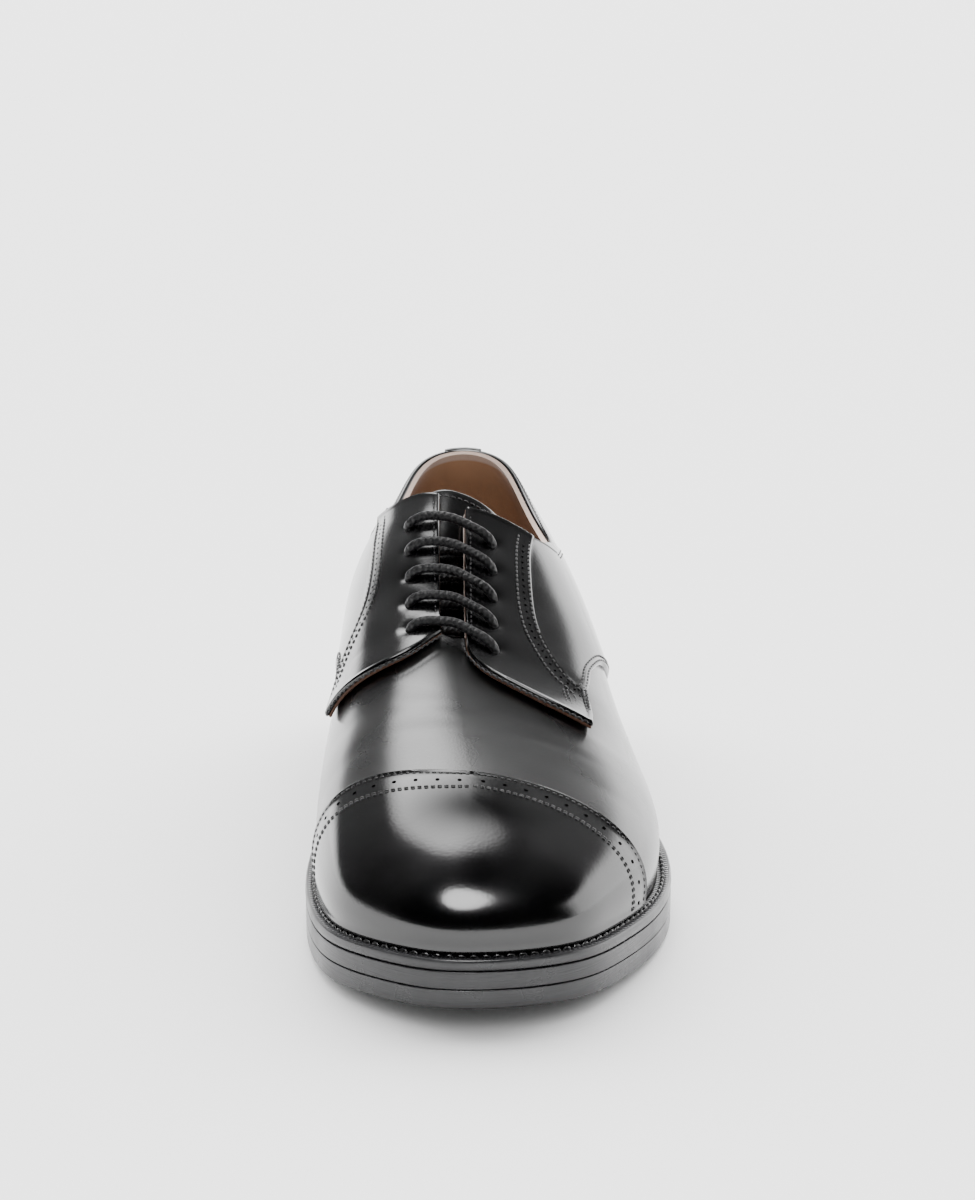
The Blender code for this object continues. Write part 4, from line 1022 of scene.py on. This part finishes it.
# Tongue
# A padded strip under the slot, sewn in under the vamp. Its rounded top stands out behind the
# facings, with a row of stitches along the edge.
TONGUE_THICK = 0.0022
TONGUE_RAISE = 0.0066
TONGUE_ROUND = 0.0010
tongue_start = float(turn_of(0.335))
tongue_end = float(turn_of(0.6165 + 0.008 / SOLE_LENGTH))
tongue_shares = closer_ends(90, 0.012)
tongue_across = closer_ends(36, 0.03)
walk = tongue_start + (tongue_end - tongue_start) * tongue_shares
reach = SLOT_WIDTH / 2 + EYELET_INSET * (1.25 + 0.5 * tongue_shares)
reach = reach * (0.90 + 0.10 * np.sqrt(np.clip(1 - (np.clip(tongue_shares - 0.90, 0, 1) / 0.1) ** 2, 0, 1)))
offsets = (2 * tongue_across - 1)[None, :] * reach[:, None]
signs = np.where(offsets < 0, -1.0, 1.0)
turns = signs * walk[:, None]
levels = np.where(np.abs(offsets) > 1e-5, beside_ridge(turns, np.abs(offsets)), 1.0)
blend = np.clip((np.abs(turns) - tongue_start) / (THROAT - tongue_start), 0, 1)
raised = np.clip((tongue_shares - 0.70) / 0.30, 0, 1)[:, None]
rounded = 1 - 0.55 * (2 * tongue_across - 1)[None, :] ** 2
drop = TONGUE_RAISE * raised ** 1.3 * rounded - (0.0003 + 0.0037 * blend * blend * (3 - 2 * blend))
base = over(turns, levels, drop)
fullness = rounding(from_borders(base, ("back", "low", "high")), TONGUE_ROUND)
half_thick = TONGUE_THICK / 2
bm = bmesh.new()
for side in (half_thick, -half_thick):
    add_grid(bm, placed(over(turns, levels, drop - half_thick + side * fullness)))
finished("tongue_panel", bm, [panel_leather], ["tongue"], angle=60)
bm = bmesh.new()
sewn_share = float(np.interp(tongue_end - 0.0040 / 0.16, walk, tongue_shares))
row = int(np.searchsorted(tongue_shares, sewn_share))
inner = slice(4, -4)
path = over(turns[row, inner], levels[row, inner], drop[row, inner])
add_thread(bm, path, last_normal(turns[row, inner], levels[row, inner]), 0.0022, 0.00028)
trimmed("tongue_stitches", bm, thread_finish)

# Lace
# One round waxed braid. It comes up through each inner eyelet, crosses the ridge to the outer
# one, dives, and runs back slantwise under the facings to the next inner eyelet down.
LACE_RADIUS = 0.00165
OVER_LACE = FACING_HIGH + LACE_RADIUS + 0.0002
UNDER_LACE = -0.0019
BRAID_PITCH = 0.0026
STRAND_PITCH = 0.0019
route = []
for index in range(EYELET_COUNT - 1, -1, -1):
    left, right = eyelets[-1][index][0], eyelets[1][index][0]
    if index == EYELET_COUNT - 1:
        route.append(across_ridge(left, -EYELET_SIDE - 0.001, UNDER_LACE - 0.0005))
    route.append(across_ridge(left, -EYELET_SIDE, UNDER_LACE + 0.0012))
    route.append(across_ridge(left, -EYELET_SIDE, FACING_HIGH - 0.0006))
    for share in (0.16, 0.32, 0.5, 0.68, 0.84):
        turn = left + (right - left) * share
        sideways = EYELET_SIDE * (2 * share - 1)
        arch = 0.0004 * math.sin(math.pi * share)
        route.append(across_ridge(turn, sideways, OVER_LACE + arch))
    route.append(across_ridge(right, EYELET_SIDE, FACING_HIGH - 0.0006))
    route.append(across_ridge(right, EYELET_SIDE, UNDER_LACE + 0.0012))
    below = eyelets[-1][index - 1][0] if index else left - 0.030
    for share in (0.2, 0.4, 0.6, 0.8):
        turn = right + (below - right) * share
        route.append(across_ridge(turn, EYELET_SIDE * (1 - 2 * share), UNDER_LACE))
route = np.array(route)
stops = run_of(route)
at = np.linspace(0, stops[-1], int(stops[-1] / 0.00028))
middle = np.stack([Line(stops, route[:, k])(at) for k in range(3)], axis=-1)
ways = np.gradient(middle, axis=0)
ways /= np.linalg.norm(ways, axis=-1, keepdims=True)
sides = np.zeros_like(middle)
side = np.array([0.0, 1.0, 0.0])
for i, way in enumerate(ways):
    side = side - way * side.dot(way)
    side /= np.linalg.norm(side)
    sides[i] = side
ups = np.cross(ways, sides)
around = np.linspace(0, 1, 25)
twist = at[None, :] / BRAID_PITCH
braid = np.maximum(np.sin(2 * math.pi * (twist + 3 * around[:, None])),
                   np.sin(2 * math.pi * (twist - 3 * around[:, None])))
radius = LACE_RADIUS * (0.90 + 0.03 * braid)[..., None]
angle = 2 * math.pi * around[:, None, None]
tube = middle[None] + radius * (np.cos(angle) * sides[None] + np.sin(angle) * ups[None])
lace_uv = np.stack(np.broadcast_arrays(at[None, :], around[:, None]), axis=-1)
lace_finish, tree, shader = new_material("lace_braid", (0.0012, 0.0012, 0.0016), 0.45, 0.0, specular=0.35)
uv = add_node(tree, "ShaderNodeUVMap")
split = add_node(tree, "ShaderNodeSeparateXYZ")
tree.links.new(uv.outputs["UV"], split.inputs[0])
along = add_node(tree, "ShaderNodeMath", operation="MULTIPLY")
along.inputs[1].default_value = 2 * math.pi / STRAND_PITCH
tree.links.new(split.outputs["X"], along.inputs[0])
strands = []
for turn_way in (4, -4):
    phase = add_node(tree, "ShaderNodeMath", operation="MULTIPLY_ADD")
    phase.inputs[1].default_value = 2 * math.pi * turn_way
    wave = add_node(tree, "ShaderNodeMath", operation="SINE")
    tree.links.new(split.outputs["Y"], phase.inputs[0])
    tree.links.new(along.outputs[0], phase.inputs[2])
    tree.links.new(phase.outputs[0], wave.inputs[0])
    strands.append(wave)
woven = add_node(tree, "ShaderNodeMath", operation="MAXIMUM")
tree.links.new(strands[0].outputs[0], woven.inputs[0])
tree.links.new(strands[1].outputs[0], woven.inputs[1])
bumped(tree, shader, woven.outputs[0], 0.7, 0.00015)
bm = bmesh.new()
add_grid(bm, placed(tube), lace_uv)
finished("lace", bm, [lace_finish], ["lace_bar_%d" % i for i in range(1, 6)], angle=80)

# Welt
# A strip sewn round the foot of the upper: a rounded outer lip, a channel with thick stitches
# close to the leather, and fine notches pressed between them.
WELT_STITCH_INSET = 0.0017
inner_inset = margin_line(all_turns) - SHELL_THICK - 0.0004
inner_inset -= bulge_line(all_turns) * (1 - (1 - WELT_THICK / rise_line(all_turns)) ** 2)
rings, ring_uv = [], []


def flat(height):
    """The same height all along the shoe."""
    return lambda y: 0 * y + height


outline_run = run_of(ring_points(all_turns, 0.0, flat(0.0)))


def welt_line(inset, up, across):
    """A line round the welt, with its distance across the strip kept for the notches."""
    rings.append(ring_points(all_turns, inset, lambda y: seat(y) + up))
    ring_uv.append(np.stack(np.broadcast_arrays(outline_run, across), axis=-1))


# The lip bulges a little, and its side is counted as far outside the notches.
for inset, up in ((0.0006, 0.0), (0.0002, 0.0001), (0.0, 0.0005), (-0.0001, 0.0016), (0.0, 0.0026),
                  (0.0002, 0.0030), (0.0006, 0.00318)):
    welt_line(inset, up, inset - (0.004 if up < 0.003 else 0))
for share in np.linspace(0.12, 1, 16):
    inset = 0.0006 + (inner_inset - 0.0006) * share
    channel = 0.00030 * np.exp(-((inset - inner_inset + 0.0016) / 0.0008) ** 2)
    welt_line(inset, WELT_THICK - 0.0001 - channel, inset)
welt_line(inner_inset, 0.0, inner_inset)
rings.append(rings[0])
ring_uv.append(ring_uv[0])
notched = sole_edge_material("welt_top", 0.32)
tree = notched.node_tree
shader = tree.nodes["Principled BSDF"]
uv = add_node(tree, "ShaderNodeUVMap")
notch = add_node(tree, "ShaderNodeTexWave", Scale=1.0, Distortion=0.6, Detail=1.0)
notch_place = add_node(tree, "ShaderNodeMapping", Scale=(190, 0.01, 1))
split = add_node(tree, "ShaderNodeSeparateXYZ")
pressed = add_node(tree, "ShaderNodeMath", operation="MULTIPLY")
tree.links.new(uv.outputs["UV"], notch_place.inputs["Vector"])
tree.links.new(notch_place.outputs["Vector"], notch.inputs["Vector"])
tree.links.new(uv.outputs["UV"], split.inputs[0])
tree.links.new(notch.outputs["Fac"], pressed.inputs[0])
tree.links.new(ranged(tree, split.outputs["Y"], 0.0008, 0.0014), pressed.inputs[1])
bumped(tree, shader, pressed.outputs[0], 0.9, 0.0005)
bm = bmesh.new()
add_grid(bm, placed(np.stack(rings)), np.stack(ring_uv))
finished("welt_ring", bm, [notched], ["welt"], angle=60)
bm = bmesh.new()
path = ring_points(all_turns, inner_inset - WELT_STITCH_INSET, lambda y: seat(y) + WELT_THICK - 0.0002)
add_thread(bm, path, np.broadcast_to([0.0, 0.0, 1.0], path.shape), 0.0033, 0.00055, 0.3)
trimmed("welt_stitches", bm, thread_finish)

# Heel
# Leather lifts glued and nailed in a stack under the seat, cut square across the front. They taper
# a little towards the ground, where a rubber top piece takes the wear.
HEEL_LENGTH = 0.077
HEEL_FRONT = SOLE_LENGTH - HEEL_LENGTH
HEEL_HEIGHT = 0.0255
HEEL_INSET = 0.0006
HEEL_TAPER = 0.0022
LIFT_THICK = 0.0023
breast = float(turn_of(HEEL_FRONT / SOLE_LENGTH))


def heel_body(rows):
    """A block under the heel from (inset, height) rows, with a flat front."""
    bm = bmesh.new()
    half = np.linspace(breast, math.pi, 70)
    around_back = np.concatenate([-half, half[::-1][1:]])
    rings = np.stack([ring_points(around_back, inset, height) for inset, height in rows])
    rings[..., 1] = np.maximum(rings[..., 1], HEEL_FRONT)
    add_grid(bm, placed(rings))
    shares = np.linspace(0, 1, 12)
    front = np.stack([rings[:, 0] + (rings[:, -1] - rings[:, 0]) * share for share in shares], axis=1)
    add_grid(bm, placed(front))
    for inset, height in (rows[0], rows[-1]):
        add_face(bm, half, (inset, inset), height, len(shares), HEEL_FRONT)
    return bm


heel_finish = sole_edge_material("heel_edge", 0.30)
tree = heel_finish.node_tree
place = add_node(tree, "ShaderNodeTexCoord")
split = add_node(tree, "ShaderNodeSeparateXYZ")
lifts = add_node(tree, "ShaderNodeMath", operation="PINGPONG")
lifts.inputs[1].default_value = LIFT_THICK
tree.links.new(place.outputs["Object"], split.inputs[0])
tree.links.new(split.outputs["Z"], lifts.inputs[0])
joint = ranged(tree, lifts.outputs[0], 0.0, 0.00018)
bumped(tree, tree.nodes["Principled BSDF"], joint, 0.8, 0.0003)
rubber, tree, shader = new_material("top_piece_rubber", (0.004, 0.004, 0.004), 0.62)
specks = textured(tree, "ShaderNodeTexNoise", Scale=1400.0, Detail=3.0)
bumped(tree, shader, specks.outputs["Fac"], 0.25, 0.0001, coat=False)
stack_rows = [(HEEL_INSET + HEEL_TAPER * (1 - up / HEEL_HEIGHT), flat(up)) for up in (0.0068, 0.012, 0.017)]
stack_rows.append((HEEL_INSET, lambda y: underside(y) - LAYER_GAP))
finished("heel_stack_block", heel_body(stack_rows), [heel_finish], ["heel_stack"])
lift_rows = [(0.0034, flat(0.0)), (0.0028, flat(0.0006)), (0.0023, flat(0.0065))]
finished("heel_lift_block", heel_body(lift_rows), [rubber], ["heel_lift"])

# Insole
# A smooth tan leather sock over the midsole, glued down inside the walls. It is seen only through
# the collar.
INSOLE_THICK = 0.0030
sock, tree, shader = new_material("sock_leather", (0.10, 0.06, 0.033), 0.55)
pores = textured(tree, "ShaderNodeTexVoronoi", Scale=800.0)
bumped(tree, shader, pores.outputs["Distance"], 0.2, 0.0001)
bm = bmesh.new()
sock_insets = (margin_line(-half_turns) + LAYER_GAP, margin_line(half_turns) + LAYER_GAP)
side_inset = margin_line(wrapped(all_turns)) + LAYER_GAP
sock_side = []
for up in (0.0, INSOLE_THICK):
    add_face(bm, half_turns, sock_insets, lambda y: seat(y) + up)
    sock_side.append(ring_points(all_turns, side_inset, lambda y: seat(y) + up))
add_grid(bm, placed(np.stack(sock_side)))
finished("insole_sock", bm, [sock], ["insole"])

# Floor and light
# A sheet of pale paper that fills the picture, under soft light from all round that is strongest
# behind. The polish mirrors low white walls at the sides, a lamp behind and one over the toe.
bpy.ops.mesh.primitive_plane_add(size=60)
floor = bpy.context.object
floor.name = "floor"
floor_finish, tree, shader = new_material("floor_paper", (0.80, 0.80, 0.80), 0.9, specular=0.1)
floor.data.materials.append(floor_finish)

PAPER_GLOW = 3.7
WALL_GLOW = 4.0
DARK_GLOW = 0.001
DOME_GLOW = 0.8
DOME_REAR_GLOW = 11.5
# Rows of (direction, outer and inner angle in degrees, glow).
lamps = [((0.0, 0.76, 0.65), 34.0, 14.0, 0.06), ((-0.11, 0.62, 0.79), 17.0, 6.0, 8.0),
         ((-0.10, -0.35, 0.94), 19.0, 12.0, 16.0)]
world = bpy.data.worlds.new("studio")
bpy.context.scene.world = world
world.use_nodes = True
tree = world.node_tree
place = tree.nodes.new("ShaderNodeTexCoord")
split = tree.nodes.new("ShaderNodeSeparateXYZ")
tree.links.new(place.outputs["Generated"], split.inputs[0])


def ramp(source, low, high):
    """A soft step from 0 to 1 as the source passes from low to high."""
    return ranged(tree, source, low, high, kind="SMOOTHSTEP")


def combined(operation, first, second, third=0.0):
    """One arithmetic step on sockets or numbers."""
    node = add_node(tree, "ShaderNodeMath", operation=operation)
    for socket, value in zip(node.inputs, (first, second, third)):
        if isinstance(value, float):
            socket.default_value = value
        else:
            tree.links.new(value, socket)
    return node.outputs[0]


def toward(direction, outer, inner):
    """A soft disc of light round one direction, between two angles in degrees."""
    dot = add_node(tree, "ShaderNodeVectorMath", operation="DOT_PRODUCT")
    dot.inputs[1].default_value = Vector(direction).normalized()
    tree.links.new(place.outputs["Generated"], dot.inputs[0])
    return ramp(dot.outputs["Value"], math.cos(math.radians(outer)), math.cos(math.radians(inner)))


# In the polish: low white walls at both sides and behind, then a haze and a lamp behind, and a lamp
# over the toe. All the rest is dark.
leaning = combined("MULTIPLY_ADD", split.outputs["X"], -0.25, split.outputs["Z"])
walls = combined("MULTIPLY", ramp(leaning, 0.36, 0.20), ramp(split.outputs["Y"], -0.40, 0.0))
mirrored = combined("MULTIPLY_ADD", walls, WALL_GLOW, DARK_GLOW)
for direction, outer, inner, glow in lamps:
    mirrored = combined("MULTIPLY_ADD", toward(direction, outer, inner), glow, mirrored)
# On the matt surfaces: an even dome, stronger from behind, so the shoe shades the floor in front.
dome = combined("MULTIPLY_ADD", ramp(split.outputs["Y"], 0.1, 0.6), DOME_REAR_GLOW, DOME_GLOW)
rays = tree.nodes.new("ShaderNodeLightPath")
matt_or_seen = add_node(tree, "ShaderNodeMix", data_type="FLOAT")
matt_or_seen.inputs[3].default_value = PAPER_GLOW
tree.links.new(rays.outputs["Is Camera Ray"], matt_or_seen.inputs[0])
tree.links.new(dome, matt_or_seen.inputs[2])
shown = add_node(tree, "ShaderNodeMix", data_type="FLOAT")
tree.links.new(rays.outputs["Is Glossy Ray"], shown.inputs[0])
tree.links.new(matt_or_seen.outputs[0], shown.inputs[2])
tree.links.new(mirrored, shown.inputs[3])
background = tree.nodes["Background"]
background.inputs["Color"].default_value = (1, 1, 1, 1)
tree.links.new(shown.outputs[0], background.inputs["Strength"])

camera_data = bpy.data.cameras.new("camera")
camera_data.lens = 74.0
camera_data.sensor_width = 36
camera_data.clip_start = 0.05
camera_data.clip_end = 100
camera = bpy.data.objects.new("camera", camera_data)
bpy.context.scene.collection.objects.link(camera)
azimuth = math.radians(-0.97)
elevation = math.radians(14.76)
distance = 0.7263
back = Vector((math.sin(azimuth) * math.cos(elevation), -math.cos(azimuth) * math.cos(elevation),
               math.sin(elevation)))
aim = Vector((0.00571 - MIDDLE_X, 0.100 - SOLE_LENGTH / 2, 0.0915))
camera.location = aim + back * distance
camera.rotation_euler = (-back).to_track_quat("-Z", "Y").to_euler()
bpy.context.scene.camera = camera
